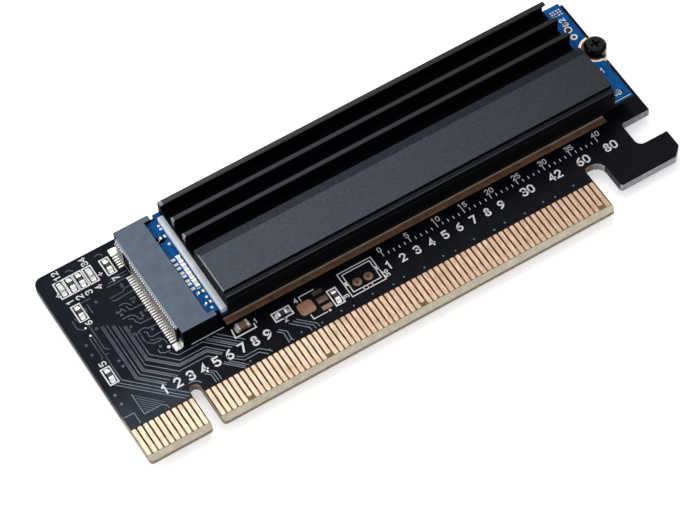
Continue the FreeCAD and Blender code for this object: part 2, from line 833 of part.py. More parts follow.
def contact_rooms():
    """Rooms over and under the mouth, one on each side of the key, for the springing ends."""
    base = board_front.value
    front = socket_front.value
    side = size["pin_wide"].value / 2 + size["pin_side_gap"].value
    rooms = []
    for upper in (True, False):
        middles = slot_pins(upper)
        left = (size["drive_start"] if upper else socket_back + size["pin_root"]).value
        bottom = drive_front.value if upper else base - 1
        high = drive_front + size["pin_over_drive"] + size["pin_thick"]
        top = (high if upper else drive_back).value
        before_key = [middle for middle in middles if middle < key_middle.value]
        for group in (before_key, middles[len(before_key):]):
            rooms.append(box_solid(left, group[0] - side, bottom, front + 1 - left,
                                   group[-1] - group[0] + 2 * side, top - bottom))
    return rooms


def tab_lows():
    """Low Y of the two metal tabs at the rear corners of the socket."""
    half = socket_long.value / 2
    middle = drive_middle.value
    return (middle - half, middle + half - size["tab_wide"].value)


def solder_tabs():
    """Two bent metal tabs that hold the rear corners of the socket to the board."""
    base = board_front.value
    thick = size["pin_thick"].value
    start = socket_back.value - size["pin_foot"].value
    end = socket_back.value + size["tab_notch"].value
    wide = size["tab_wide"].value
    solids = []
    for low in tab_lows():
        foot = box_solid(start, low, base, end - start, wide, thick)
        riser = box_solid(end - thick, low, base, thick, wide, size["tab_tall"].value)
        solids.append(foot.fuse(riser).removeSplitter())
    return solids


# ---------------------------------------------------------------- heat sink

def build_heat_sink():
    """An extrusion with side lips, a web, three fins and a plain raised block with a stepped side."""
    body = new_body("heat_sink")
    low = drive_low - size["sink_past_near"]
    far = drive_high - size["sink_in_far"]
    bottom = pad_front
    floor = bottom + size["sink_web"]
    top = bottom + size["sink_tall"]
    lean_start = top - size["fin_lean_tall"]
    lip = size["lip_thick"]
    lip_bottom = bottom - size["lip_drop"]
    thick = size["fin_thick"]
    rounding = size["fin_round"]

    points = [(low, lip_bottom), (low + lip, lip_bottom), (low + lip, bottom), (far - lip, bottom),
              (far - lip, lip_bottom), (far, lip_bottom), (far, lean_start), (far - size["fin_lean"], top),
              (far - size["fin_lean"] - thick, top), (far - thick, lean_start), (far - thick, floor)]
    for number in range(1, FIN_COUNT):
        outer = far - size["fin_lean"] - size["fin_pitch"] * number
        points += [(outer, floor), (outer, top - rounding), (outer - rounding, top), (outer - thick, top),
                   (outer - thick, floor)]
    block_near = low + size["block_near"]
    block_far = block_near + size["block_wide"]
    ledge = top - size["ledge_drop"]
    lower_ledge = top - size["lower_ledge_drop"]
    ledge_near = low + size["ledge_edge"]
    score = low + size["score_off"]
    score_far = score + size["score_wide"]
    score_floor = ledge - size["score_deep"]
    points += [(block_far, floor), (block_far, top - size["block_bevel_drop"]),
               (block_far - size["block_bevel_wide"], top), (block_near, top), (block_near, ledge),
               (score_far, ledge), (score_far, score_floor), (score, score_floor), (score, ledge),
               (ledge_near, ledge), (ledge_near, lower_ledge), (low, lower_ledge)]
    section = new_sketch(body, "SinkSection", "YZ_Plane", sink_left)
    polygon(section, points)
    pad(body, section, sink_right - sink_left)

    slope = size["fin_end_cut"]
    ends = new_sketch(body, "SinkEndSlope", "XZ_Plane", -far - 1)
    polygon(ends, ((sink_left, top - slope), (sink_left + slope, top), (sink_left, top)))
    cut_through(body, ends, "SinkEndSlopeCut")


# ---------------------------------------------------------------- standoff, nut and screw

def place_on_axis(feature, height):
    """Stand a sub-part on the drive screw's axis at a height."""
    bind(feature, "Placement.Base.x", drive_end)
    bind(feature, "Placement.Base.y", drive_middle)
    bind(feature, "Placement.Base.z", height)


def revolve(body, sketch, name):
    feature = body.newObject("PartDesign::Revolution", name)
    feature.Profile = sketch
    feature.ReferenceAxis = (sketch, ["V_Axis"])
    feature.Angle = 360.0
    doc.recompute()
    return feature


def build_standoff():
    body = new_body("standoff")
    section = new_sketch(body, "StandoffSection", "XZ_Plane")
    bore = size["stand_bore"] / 2
    stud = stud_wide / 2
    outer = stand_body / 2
    rise = size["drive_gap"] - size["copper_thick"] * 2
    stem = size["board_thick"] + size["copper_thick"] * 2 + size["nut_tall"]
    polygon(section, ((bore, -stem), (stud, -stem), (stud, 0), (outer, 0), (outer, rise), (bore, rise)))
    revolve(body, section, "StandoffTurned")
    place_on_axis(body, board_front + size["copper_thick"])


def build_standoff_nut():
    """A thin six-sided nut on the standoff's stud, against the back of the board."""
    corner = size["nut_wide"].value / 3 ** 0.5
    tall = size["nut_tall"].value
    bottom = -size["copper_thick"].value - tall
    middle = vector(drive_end.value, drive_middle.value, bottom)
    first = middle + vector(0, corner, 0)
    turns = [FreeCAD.Rotation(vector(0, 0, 1), 60 * number) for number in range(6)]
    corners = [turn.multVec(first - middle) + middle for turn in turns]
    hexagon = Part.Face(Part.makePolygon(corners + corners[:1])).extrude(vector(0, 0, tall))
    round_off = Part.makeCone(corner * 1.12, corner * 0.93, tall, middle, vector(0, 0, 1))
    round_off.rotate(middle + vector(0, 0, tall / 2), vector(1, 0, 0), 180)
    nut = hexagon.common(round_off)
    nut = nut.cut(Part.makeCylinder(stud_wide.value / 2, tall, middle))
    computed("standoff_nut", [nut])


def build_ssd_screw():
    body = new_body("ssd_screw")
    section = new_sketch(body, "ScrewSection", "XZ_Plane")
    shank = size["stand_bore"] / 2
    head = screw_head / 2
    tall = size["screw_head_tall"]
    edge = tall - size["recess_wide"]
    end = -size["screw_long"]
    polygon(section, ((0, end), (shank, end), (shank, 0), (head, 0), (head, edge),
                      (head - size["recess_wide"], tall), (0, tall)))
    revolve(body, section, "ScrewTurned")
    recess = new_sketch(body, "ScrewRecess", "XY_Plane", tall - size["recess_deep"])
    arm = size["recess_long"] / 2
    side = size["recess_wide"] / 2
    polygon(recess, ((arm, -side), (arm, side), (side, side), (side, arm), (-side, arm), (-side, side),
                     (-arm, side), (-arm, -side), (-side, -side), (-side, -arm), (side, -arm), (side, -side)))
    before = body.Tip.Shape.Volume
    cross = body.newObject("PartDesign::Pocket", "ScrewCross")
    cross.Profile = recess
    cross.Reversed = True
    bind(cross, "Length", size["recess_deep"])
    doc.recompute()
    if not 0 < before - cross.Shape.Volume < before / 2:
        raise ValueError("the screw's recess is cut the wrong way")
    place_on_axis(body, drive_front + size["copper_thick"])


# ---------------------------------------------------------------- whole card

def check_document():
    """Stop on any failed feature, empty shape or invalid solid."""
    doc.recompute()
    failed = [item.Label for item in doc.Objects if {"Invalid", "Error"} & set(item.State)]
    for part in sub_parts:
        if part.Shape.isNull() or not part.Shape.isValid() or not part.Shape.Solids:
            failed.append(part.Label)
    if failed:
        raise ValueError("failed: " + ", ".join(failed))


def export_parts():
    os.makedirs("parts", exist_ok=True)
    for part in sub_parts:
        part.Shape.exportStep(os.path.join("parts", part.Label + ".step"))


def build_card():
    build_adapter_board()
    build_edge_contacts("edge_contacts_front", board_front.value, FRONT_SHORT_PINS)
    build_edge_contacts("edge_contacts_back", -size["copper_thick"].value, BACK_SHORT_PINS)
    build_thermal_copper()
    build_hole_rings()
    build_board_pads()
    build_chip_parts()
    build_ssd_board()
    build_ssd_contacts()
    build_ssd_screw_ring()
    build_drive_chips()
    build_thermal_pad()
    build_socket()
    build_heat_sink()
    build_standoff()
    build_standoff_nut()
    build_ssd_screw()
    check_document()
    export_parts()


build_card()
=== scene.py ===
import math

import bmesh
import bpy
from mathutils import Matrix, Vector


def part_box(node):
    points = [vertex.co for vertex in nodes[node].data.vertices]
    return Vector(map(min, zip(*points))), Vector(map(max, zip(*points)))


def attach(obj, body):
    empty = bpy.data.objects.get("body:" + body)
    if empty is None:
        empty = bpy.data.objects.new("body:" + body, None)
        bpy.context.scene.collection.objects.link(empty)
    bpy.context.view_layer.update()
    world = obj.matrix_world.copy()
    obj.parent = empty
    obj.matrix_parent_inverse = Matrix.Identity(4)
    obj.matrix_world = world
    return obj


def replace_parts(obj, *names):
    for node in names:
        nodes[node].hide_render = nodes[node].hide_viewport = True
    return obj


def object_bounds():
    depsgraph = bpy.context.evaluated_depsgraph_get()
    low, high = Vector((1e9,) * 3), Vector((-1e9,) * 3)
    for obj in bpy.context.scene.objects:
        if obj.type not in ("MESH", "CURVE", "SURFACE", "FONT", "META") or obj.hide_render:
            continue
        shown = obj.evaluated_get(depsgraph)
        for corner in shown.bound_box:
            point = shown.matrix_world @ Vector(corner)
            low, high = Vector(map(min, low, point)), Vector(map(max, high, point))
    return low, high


MM = 0.001
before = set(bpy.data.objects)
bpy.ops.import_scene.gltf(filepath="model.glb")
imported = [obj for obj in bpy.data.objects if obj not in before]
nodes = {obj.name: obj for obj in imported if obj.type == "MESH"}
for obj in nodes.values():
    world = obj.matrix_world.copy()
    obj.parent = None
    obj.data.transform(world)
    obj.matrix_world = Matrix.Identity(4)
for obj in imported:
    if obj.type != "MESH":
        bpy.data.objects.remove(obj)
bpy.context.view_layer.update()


# ---------------------------- places read from the frame

def box_mm(node):
    """The low and high corner of a CAD node, in millimetres."""
    low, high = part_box(node)
    return [value / MM for value in low], [value / MM for value in high]


def islands(node):
    """The low and high corner of each separate solid of a CAD node, in millimetres, sorted by X then Y."""
    mesh = nodes[node].data
    keys = {}
    owner = []
    for vertex in mesh.vertices:
        key = tuple(round(value * 1e6) for value in vertex.co)
        owner.append(keys.setdefault(key, len(keys)))
    parent = list(range(len(keys)))

    def root(item):
        while parent[item] != item:
            parent[item] = parent[parent[item]]
            item = parent[item]
        return item

    for face in mesh.polygons:
        first = root(owner[face.vertices[0]])
        for index in face.vertices[1:]:
            parent[root(owner[index])] = first
            first = root(first)
    groups = {}
    for vertex, item in zip(mesh.vertices, owner):
        groups.setdefault(root(item), []).append([value / MM for value in vertex.co])
    boxes = [([min(c[k] for c in points) for k in range(3)], [max(c[k] for c in points) for k in range(3)])
             for points in groups.values()]
    return sorted(boxes)


def middle(box):
    low, high = box
    return [(a + b) / 2 for a, b in zip(low, high)]


board_low, board_high = box_mm("adapter_board")
FRONT = board_high[2]
FOOT = FRONT - 0.01
TRACK_TOP = FRONT + 0.028
PRINT_TOP = FRONT + 0.03
BACK_TOP = -0.028
contacts_low, contacts_high = box_mm("edge_contacts_front")
MASK_EDGE = contacts_high[1] + 0.1
LAMINATE_EDGE = 9.3
TONGUE_END = contacts_high[0] + 2.0
sink_low, sink_high = box_mm("heat_sink")
drive_low, drive_high = box_mm("ssd_board")
DRIVE_FOOT = drive_high[2] - 0.01
DRIVE_PRINT_TOP = drive_high[2] + 0.02
DRIVE_MARK_TOP = drive_high[2] + 0.03
DRIVE_MIDDLE = (drive_low[1] + drive_high[1]) / 2
socket_low, socket_high = box_mm("socket_housing")
FIN_PITCH = 3.57
FIN_LEAN = 1.07
FLAT_WIDE = 11.0


# ---------------------------- node helpers

def feed(tree, socket, value):
    """Link a socket to another one, or write a plain value on it."""
    if isinstance(value, bpy.types.NodeSocket):
        tree.links.new(value, socket)
    else:
        socket.default_value = value


def add_node(tree, kind, inputs, **settings):
    """A new shader node with its settings and inputs."""
    node = tree.nodes.new("ShaderNode" + kind)
    for name, value in settings.items():
        setattr(node, name, value)
    for key, value in inputs.items():
        feed(tree, node.inputs[key], value)
    return node


def linear(colour):
    """A colour written in 0 to 255 as it shows, as linear values with an alpha of 1."""
    values = [value / 255 for value in colour]
    return (*(v / 12.92 if v <= 0.04045 else ((v + 0.055) / 1.055) ** 2.4 for v in values), 1.0)


class Shader:
    """A small builder for one procedural material on a Principled shader, with places in millimetres."""

    def __init__(self, name):
        self.material = bpy.data.materials.new(name)
        self.material.use_nodes = True
        self.tree = self.material.node_tree
        self.surface = self.tree.nodes["Principled BSDF"]
        place = self.node("TexCoord", {}).outputs["Object"]
        self.place = self.node("VectorMath", {0: place, "Scale": 1 / MM}, operation="SCALE").outputs[0]
        self.x, self.y, self.z = self.node("SeparateXYZ", {0: self.place}).outputs

    def node(self, kind, inputs, **settings):
        return add_node(self.tree, kind, inputs, **settings)

    def noise(self, scale, detail=3.0, stretch=None, roughness=0.5):
        place = self.place
        if stretch is not None:
            place = self.node("VectorMath", {0: place, 1: stretch}, operation="MULTIPLY").outputs[0]
        inputs = {"Vector": place, "Scale": scale, "Detail": detail, "Roughness": roughness}
        return self.node("TexNoise", inputs).outputs["Fac"]

    def math(self, operation, first, second=0.0, clamp=False):
        return self.node("Math", {0: first, 1: second}, operation=operation, use_clamp=clamp).outputs[0]

    def range(self, value, low, high, out_low=0.0, out_high=1.0):
        """Carry a value from one span to another, and hold it at the ends."""
        inputs = {"Value": value, "From Min": low, "From Max": high, "To Min": out_low, "To Max": out_high}
        return self.node("MapRange", inputs).outputs["Result"]

    def drift(self, low, high, *noise):
        """A noise carried to the span from low to high."""
        return self.range(self.noise(*noise), 0.3, 0.7, low, high)

    def mix(self, factor, first, second):
        """Blend two colours; a plain one is written in 0 to 255 as it shows."""
        first, second = (colour if isinstance(colour, bpy.types.NodeSocket) else linear(colour)
                         for colour in (first, second))
        inputs = {"Factor": factor, "A": first, "B": second}
        return self.node("Mix", inputs, data_type="RGBA").outputs["Result"]

    def toned(self, dark, light, scale):
        """A colour that drifts between two tones with a coarse and a fine noise."""
        coarse = self.math("MULTIPLY", self.noise(scale, 4.0), 0.65)
        fine = self.math("MULTIPLY", self.noise(scale * 9, 2.0), 0.35)
        return self.mix(self.range(self.math("ADD", coarse, fine), 0.35, 0.65), dark, light)

    def facing(self):
        """How far the surface faces along X, Y and Z, each from -1 to 1."""
        return self.node("SeparateXYZ", {0: self.node("NewGeometry", {}).outputs["True Normal"]}).outputs

    def above(self, value, edge, soft=0.02):
        """0 below the edge and 1 above it, over a soft step."""
        return self.range(value, edge - soft, edge + soft)

    def below(self, value, edge):
        return self.math("LESS_THAN", value, edge)

    def beyond(self, value, edge):
        return self.math("GREATER_THAN", value, edge)

    def both(self, first, second):
        return self.math("MULTIPLY", first, second, clamp=True)

    def outside(self, value):
        return self.math("SUBTRACT", 1.0, value)

    def done(self, relief, depth, strength=1.0, **values):
        """Add a relief, set the shader's own sockets and give the material back."""
        bump = self.node("Bump", {"Distance": depth * MM, "Strength": strength, "Height": relief})
        feed(self.tree, self.surface.inputs["Normal"], bump.outputs[0])
        for name, value in values.items():
            feed(self.tree, self.surface.inputs[name.replace("_", " ")], value)
        return self.material


# ---------------------------- materials

def make_solder_mask():
    """Near-black mask; bare laminate between the contacts and on the board's lower edge."""
    s = Shader("solder_mask")
    _, across, up = s.facing()
    up = s.math("ABSOLUTE", up)
    mask = s.mix(s.range(s.x, -8.0, 12.0), s.toned((15, 18, 25), (25, 29, 38), 0.35),
                 s.toned((5, 7, 11), (10, 13, 20), 0.35))
    poured = s.both(s.range(s.y, 15.0, 9.0), s.range(s.x, 3.0, -5.0))
    mask = s.mix(poured, mask, s.toned((40, 46, 55), (58, 66, 76), 0.35))
    tip = s.below(s.y, contacts_low[1] + 1.3)
    laminate = s.mix(tip, s.toned((58, 41, 22), (80, 58, 34), 0.8),
                     s.toned((112, 92, 62), (142, 120, 86), 0.8))
    bevel = s.toned((196, 186, 166), (222, 212, 192), 0.9)
    edge = s.toned((138, 126, 108), (176, 164, 144), 1.6)
    dark_edge = s.toned((24, 25, 28), (64, 64, 66), 1.2)
    # painted highlight: the hook's upright sides that face -Y are painted light grey
    hook_lit_edge = s.toned((150, 150, 150), (204, 204, 204), 1.2)
    tongue = s.below(s.x, TONGUE_END)
    below = s.both(tongue, s.outside(s.above(s.y, MASK_EDGE, 0.03)))
    low_edge = s.both(tongue, s.outside(s.above(s.y, LAMINATE_EDGE, 0.2)))
    hook = s.both(s.beyond(s.x, TONGUE_END), s.below(across, -0.3))
    flat = s.mix(below, mask, laminate)
    sides = s.mix(hook, s.mix(low_edge, dark_edge, edge), hook_lit_edge)
    upright = s.below(up, 0.3)
    sloped = s.both(s.both(s.beyond(up, 0.3), s.below(up, 0.99)), below)
    colour = s.mix(sloped, s.mix(upright, flat, sides), bevel)
    return s.done(s.noise(2.2, 5.0), 0.02, Base_Color=colour, Roughness=s.drift(0.34, 0.48, 0.8, 4.0),
                  Specular_IOR_Level=0.04)


def make_trace(name, tones, near_tones):
    """Mask over copper: the same mask with a cooler, lighter sheen, strongest near the contacts."""
    s = Shader(name)
    colour = s.mix(s.range(s.y, 19.0, 12.5), s.toned(*tones, 0.5), s.toned(*near_tones, 0.5))
    return s.done(s.noise(6.0), 0.01, Base_Color=colour, Roughness=s.drift(0.3, 0.42, 1.5),
                  Specular_IOR_Level=0.12)


def make_simple(name, dark, light, scale, sheen, sheen_range, relief, depth, **sockets):
    """Two drifting tones, a noise that varies the sheen and a finer one for the relief."""
    s = Shader(name)
    return s.done(s.noise(*relief), depth, Base_Color=s.toned(dark, light, scale),
                  Roughness=s.drift(*sheen_range, *sheen), **sockets)


def make_gold():
    """Plated contacts: creamy at the key end and rosier along the card, with fine drag marks."""
    s = Shader("gold_plating")
    drift = s.math("ADD", s.range(s.x, board_low[0], 34.0), s.drift(-0.25, 0.25, 0.12, 2.0), clamp=True)
    warm = s.range(s.x, 20.0, contacts_high[0])
    light = s.mix(warm, s.mix(drift, (200, 186, 166), (182, 155, 135)), (172, 146, 126))
    deep = s.mix(warm, s.mix(drift, (176, 160, 138), (154, 127, 107)), (144, 118, 98))
    marks = s.noise(1.2, 4.0, stretch=(6.0, 0.5, 1.0))
    return s.done(marks, 0.01, Base_Color=s.mix(s.range(marks, 0.35, 0.68), light, deep), Metallic=0.85,
                  Roughness=s.range(marks, 0.3, 0.7, 0.36, 0.5))


def make_gold_in_painted_shade():
    """Plating painted brown as shade where the socket and the screw's seat shade it, with a pale outer rim.
    """
    s = Shader("gold_in_painted_shade")
    across = s.math("SUBTRACT", s.x, drive_high[0])
    up = s.math("SUBTRACT", s.y, DRIVE_MIDDLE)
    radius = s.math("SQRT", s.math("ADD", s.math("MULTIPLY", across, across), s.math("MULTIPLY", up, up)))
    upper_rim = s.both(s.below(radius, 3.4), s.beyond(s.z, drive_high[2]))
    rim = s.both(s.above(radius, 2.3, 0.06), upper_rim)
    # brown is painted shade of the socket and of the screw's head on the plating
    brown = s.toned((52, 34, 22), (92, 62, 40), 1.2)
    pale = s.toned((206, 190, 166), (236, 224, 204), 1.2)
    return s.done(s.noise(5.0), 0.01, Base_Color=s.mix(rim, brown, pale), Metallic=0.5,
                  Roughness=s.drift(0.34, 0.5, 3.0), Specular_IOR_Level=0.1)


def make_copper():
    """Bare copper with painted light: bright along its open near edge with a painted highlight at the back of
    that strip, and painted shade below the drive.
    """
    s = Shader("bare_copper")
    # painted light: the open near strip is bright with a painted highlight along its back rim, and under the
    # drive the copper is painted shade
    open_side = s.outside(s.above(s.y, drive_low[1] + 1.15, 0.06))
    rim = s.above(s.y, drive_low[1] + 0.85, 0.08)
    bright = s.mix(rim, s.toned((134, 100, 74), (176, 136, 104), 0.5),
                   s.toned((232, 196, 176), (255, 232, 216), 0.5))
    shaded_copper = s.toned((34, 24, 18), (58, 40, 26), 0.6)
    return s.done(s.noise(3.0, 4.0), 0.02, Base_Color=s.mix(open_side, shaded_copper, bright),
                  Metallic=s.range(rim, 0.0, 1.0, 0.5, 0.1), Roughness=s.drift(0.42, 0.6, 0.9),
                  Specular_IOR_Level=0.2)


def make_pads():
    """Pads of the footprint left unfitted, browner towards the top of the card."""
    s = Shader("aged_pads")
    near = box_mm("unfitted_pads")[0]
    drift = s.both(s.above(s.x, near[0] + 3.0, 0.1), s.range(s.y, near[1] + 0.8, near[1] + 2.6))
    colour = s.mix(drift, s.toned((122, 88, 70), (148, 112, 92), 0.9),
                   s.toned((50, 40, 34), (78, 64, 54), 1.5))
    return s.done(s.noise(5.0), 0.02, Base_Color=colour, Metallic=0.5, Roughness=s.drift(0.4, 0.55, 2.0))


def make_socket_plastic():
    """Glass-filled plastic: its top has a grey painted reflection, its sides are black, its rear top edge has
    a light painted highlight.
    """
    s = Shader("socket_plastic")
    back, _, up = s.facing()
    fibres = s.noise(1.0, 4.0, stretch=(2.4, 0.7, 1.0))
    # the grey top is a painted reflection and the light rear top edge a painted highlight
    top = s.toned((76, 90, 106), (92, 107, 124), 0.6)
    side = s.toned((7, 8, 10), (15, 17, 20), 0.8)
    top_edge = s.both(s.above(up, 0.2, 0.05), s.above(s.z, socket_high[2] - 0.3))
    highlit_edges = s.both(s.below(back, -0.25), top_edge)
    lit = s.above(up, 0.8, 0.1)
    return s.done(s.noise(3.5, 4.0), 0.025, Base_Color=s.mix(highlit_edges, s.mix(lit, side, top), (158, 168, 180)),
                  Roughness=s.range(fibres, 0.3, 0.7, 0.42, 0.54),
                  Specular_IOR_Level=s.range(lit, 0.0, 1.0, 0.03, 0.3))


def make_drive_mask():
    """Blue mask with darker tracks below it; its upright edges are painted dark as shade."""
    s = Shader("drive_mask")
    _, _, up = s.facing()
    tracks = s.noise(0.7, 1.0, stretch=(3.0, 0.7, 1.0))
    face = s.mix(s.math("MULTIPLY", s.beyond(tracks, 0.56), 0.45), s.toned((0, 74, 142), (2, 98, 170), 0.5),
                 (0, 44, 96))
    # painted shade: the drive's upright edges are dark
    upright = s.below(s.math("ABSOLUTE", up), 0.3)
    return s.done(tracks, 0.02, Base_Color=s.mix(upright, face, s.toned((6, 12, 20), (30, 40, 48), 1.5)),
                  Roughness=s.drift(0.36, 0.5, 1.1), Specular_IOR_Level=0.05)


def make_rubber():
    """Soft pale pad with painted light: its open end is painted bright, its top a darker, faintly lilac grey
    of painted shade under the heat sink.
    """
    s = Shader("pad_rubber")
    # the bright end and the darker top are painted light and painted shade
    end = s.toned((246, 246, 247), (255, 255, 255), 0.9)
    top = s.toned((212, 212, 222), (238, 238, 243), 0.9)
    inner = s.above(s.x, box_mm("thermal_pad")[0][0] + 0.42, 0.18)
    return s.done(s.noise(3.0, 5.0), 0.05, Base_Color=s.mix(inner, end, top),
                  Roughness=s.drift(0.55, 0.75, 2.0), Subsurface_Weight=0.15)


def make_anodised():
    """Black anodised aluminium with painted light: a grey painted reflection with a sandy grain on what faces
    up, black walls, and painted highlights on the end's rims and fin ends, on the fin ends partly bare cut
    metal.
    """
    s = Shader("black_anodised")
    back, _, up = s.facing()
    top_face = sink_high[2] - 0.15
    lines = s.noise(2.0, 3.0, stretch=(0.05, 3.0, 3.0))
    grain = s.noise(2.6, 3.0, roughness=0.8)
    rough = s.math("ADD", s.math("MULTIPLY", lines, 0.1), s.math("MULTIPLY", grain, 0.9))
    tone = s.range(rough, 0.38, 0.62)
    along = s.range(s.x, sink_low[0], sink_high[0])

    # what faces up: the flat top and the fins get a grey painted reflection that fades towards the right end,
    # with a black line along each crown; the open ledge is dark grey and the floors between the fins are
    # painted near black as shade
    flat = s.mix(tone, s.mix(along, (38, 45, 56), (16, 19, 25)), s.mix(along, (66, 74, 88), (44, 49, 58)))
    across_fin = s.math("MODULO", s.math("SUBTRACT", sink_high[1] - FIN_LEAN, s.y), FIN_PITCH)
    crown = s.both(s.above(across_fin, 0.2, 0.1), s.outside(s.above(across_fin, 0.7, 0.1)))
    bright_fin = s.mix(tone, (28, 31, 38), (46, 50, 58))
    dim_fin = s.mix(tone, (8, 9, 11), (20, 22, 26))
    fin_top = s.mix(crown, (4, 4, 6), s.mix(along, bright_fin, dim_fin))
    flat = s.mix(s.above(s.y, sink_low[1] + FLAT_WIDE, 0.1), flat, fin_top)
    on_top = s.above(s.z, top_face, 0.1)
    near = s.below(s.y, sink_low[1] + 1.2)
    low_faces = s.mix(near, s.mix(tone, (3, 3, 4), (9, 9, 11)), s.mix(tone, (18, 20, 24), (32, 35, 41)))
    facing_up = s.mix(on_top, low_faces, flat)

    # walls, the slope along the top's edge with a lighter painted reflection, and the end with painted
    # highlights on its rims and upper fin ends, on the fin ends partly bare cut metal
    lit = s.above(up, 0.99, 0.005)
    slope = s.both(s.above(up, 0.25, 0.1), s.above(s.z, top_face - 0.3, 0.05))
    slope_tone = s.mix(tone, s.mix(along, (46, 49, 56), (28, 30, 35)),
                       s.mix(along, (64, 68, 77), (44, 47, 53)))
    wall = s.mix(tone, (5, 6, 7), (15, 16, 19))
    colour = s.mix(lit, s.mix(slope, wall, slope_tone), facing_up)
    end = s.below(back, -0.3)
    fins = s.both(s.beyond(s.y, sink_high[1] - FLAT_WIDE), s.above(s.z, top_face - 1.2, 0.3))
    # painted highlights on the end's top rims and on the upper fin ends, on the fin ends partly bare cut
    # metal
    rim = s.both(end, s.both(s.above(up, 0.2, 0.1), on_top))
    highlit_edges = s.math("MAXIMUM", s.math("MULTIPLY", s.both(end, fins), 0.8), rim)
    colour = s.mix(highlit_edges, colour, s.mix(tone, (128, 134, 144), (182, 188, 198)))
    open_top = s.both(lit, s.math("MAXIMUM", on_top, near))
    shine = s.math("MULTIPLY", open_top, s.range(along, 0.0, 1.0, 0.3, 0.16))
    return s.done(tone, 0.03, 0.6, Base_Color=colour, Roughness=s.range(grain, 0.3, 0.7, 0.42, 0.56),
                  Specular_IOR_Level=s.math("ADD", shine, 0.02))


TURNED = (2.0, 3.0, (1.0, 1.0, 6.0))
CERAMIC = (1.6, (3.0,), (0.4, 0.6), (9.0,), 0.01)

MATERIALS = {
    "solder_mask": make_solder_mask(),
    "masked_copper": make_trace("masked_copper", ((66, 73, 88), (102, 111, 128)),
                                ((110, 118, 131), (150, 158, 172))),
    "masked_track": make_trace("masked_track", ((32, 36, 46), (52, 58, 71)),
                               ((46, 52, 62), (70, 77, 90))),
    "board_print": make_simple("board_print", (222, 224, 227), (250, 250, 251), 1.4, (3.0,), (0.5, 0.7),
                               (9.0,), 0.01, Specular_IOR_Level=0.3),
    "gold_plating": make_gold(),
    "gold_in_painted_shade": make_gold_in_painted_shade(),
    "bare_copper": make_copper(),
    "aged_pads": make_pads(),
    "tinned_metal": make_simple("tinned_metal", (206, 206, 206), (244, 244, 244), 1.3, (2.4,), (0.28, 0.5),
                                (4.0,), 0.03, Metallic=0.8),
    "spring_metal": make_simple("spring_metal", (214, 211, 206), (244, 242, 238), 1.0,
                                (3.0, 3.0, (4.0, 1.0, 0.6)), (0.28, 0.45), (5.0,), 0.01, Metallic=0.85),
    "socket_plastic": make_socket_plastic(),
    "drive_mask": make_drive_mask(),
    "chip_plastic": make_simple("chip_plastic", (20, 20, 22), (34, 34, 37), 0.9, (2.0,), (0.5, 0.65),
                                (7.0, 4.0), 0.02),
    "ceramic": make_simple("ceramic", (24, 25, 29), (46, 48, 54), *CERAMIC),
    "pale_ceramic": make_simple("pale_ceramic", (96, 70, 50), (134, 102, 76), *CERAMIC),
    "white_ceramic": make_simple("white_ceramic", (206, 210, 216), (236, 238, 242), *CERAMIC),
    "led_lens": make_simple("led_lens", (238, 236, 226), (254, 253, 248), 1.8, (3.0,), (0.12, 0.22), (4.0,),
                            0.01, Subsurface_Weight=0.2, Coat_Weight=0.3),
    "pad_rubber": make_rubber(),
    "black_anodised": make_anodised(),
    "dark_steel": make_simple("dark_steel", (3, 3, 4), (10, 10, 12), 1.2, TURNED, (0.1, 0.22), TURNED, 0.01,
                              Metallic=0.1, Specular_IOR_Level=0.07),
    "nickel": make_simple("nickel", (168, 162, 148), (206, 202, 190), 1.2, TURNED, (0.2, 0.36), TURNED, 0.01,
                          Metallic=0.95),
}

NODE_MATERIALS = {
    "solder_mask": ("adapter_board",),
    "gold_plating": ("edge_contacts_front", "edge_contacts_back", "spare_hole_rings", "ssd_lower_contacts"),
    "gold_in_painted_shade": ("used_hole_rings", "ssd_upper_contacts", "ssd_screw_rings"),
    "bare_copper": ("thermal_copper",),
    "aged_pads": ("header_hole_rings", "unfitted_pads"),
    "led_lens": ("status_lights",),
    "ceramic": ("light_resistors", "signal_resistors", "supply_resistors", "ssd_resistors"),
    "pale_ceramic": ("supply_capacitor",),
    "white_ceramic": ("ssd_capacitors",),
    "drive_mask": ("ssd_board",),
    "chip_plastic": ("ssd_controller", "ssd_cache_chip", "ssd_memory_chips"),
    "pad_rubber": ("thermal_pad",),
    "socket_plastic": ("socket_housing",),
    "spring_metal": ("socket_upper_contacts", "socket_lower_contacts", "socket_solder_tabs"),
    "black_anodised": ("heat_sink",),
    "nickel": ("standoff", "standoff_nut"),
    "dark_steel": ("ssd_screw",),
}
ROUNDED = {
    "heat_sink": 0.07, "socket_housing": 0.05, "ssd_screw": 0.06, "standoff": 0.04, "standoff_nut": 0.06,
    "thermal_pad": 0.28, "adapter_board": 0.03, "ssd_board": 0.03, "socket_solder_tabs": 0.03,
}


def dress_node(name, material):
    """Give a CAD node its material and, where its edges catch the light, slightly broken edges."""
    node = nodes[name]
    node.data.materials.clear()
    node.data.materials.append(MATERIALS[material])
    if name in ROUNDED:
        weld = node.modifiers.new("join", "WELD")
        weld.merge_threshold = 1e-7
        bevel = node.modifiers.new("broken_edges", "BEVEL")
        bevel.width = ROUNDED[name] * MM
        bevel.segments = 3 if ROUNDED[name] > 0.1 else 2
        bevel.limit_method = "ANGLE"
        bevel.angle_limit = math.radians(32)
        bevel.use_clamp_overlap = True


for material_name, node_names in NODE_MATERIALS.items():
    for node_name in node_names:
        dress_node(node_name, material_name)


# ---------------------------- mesh helpers

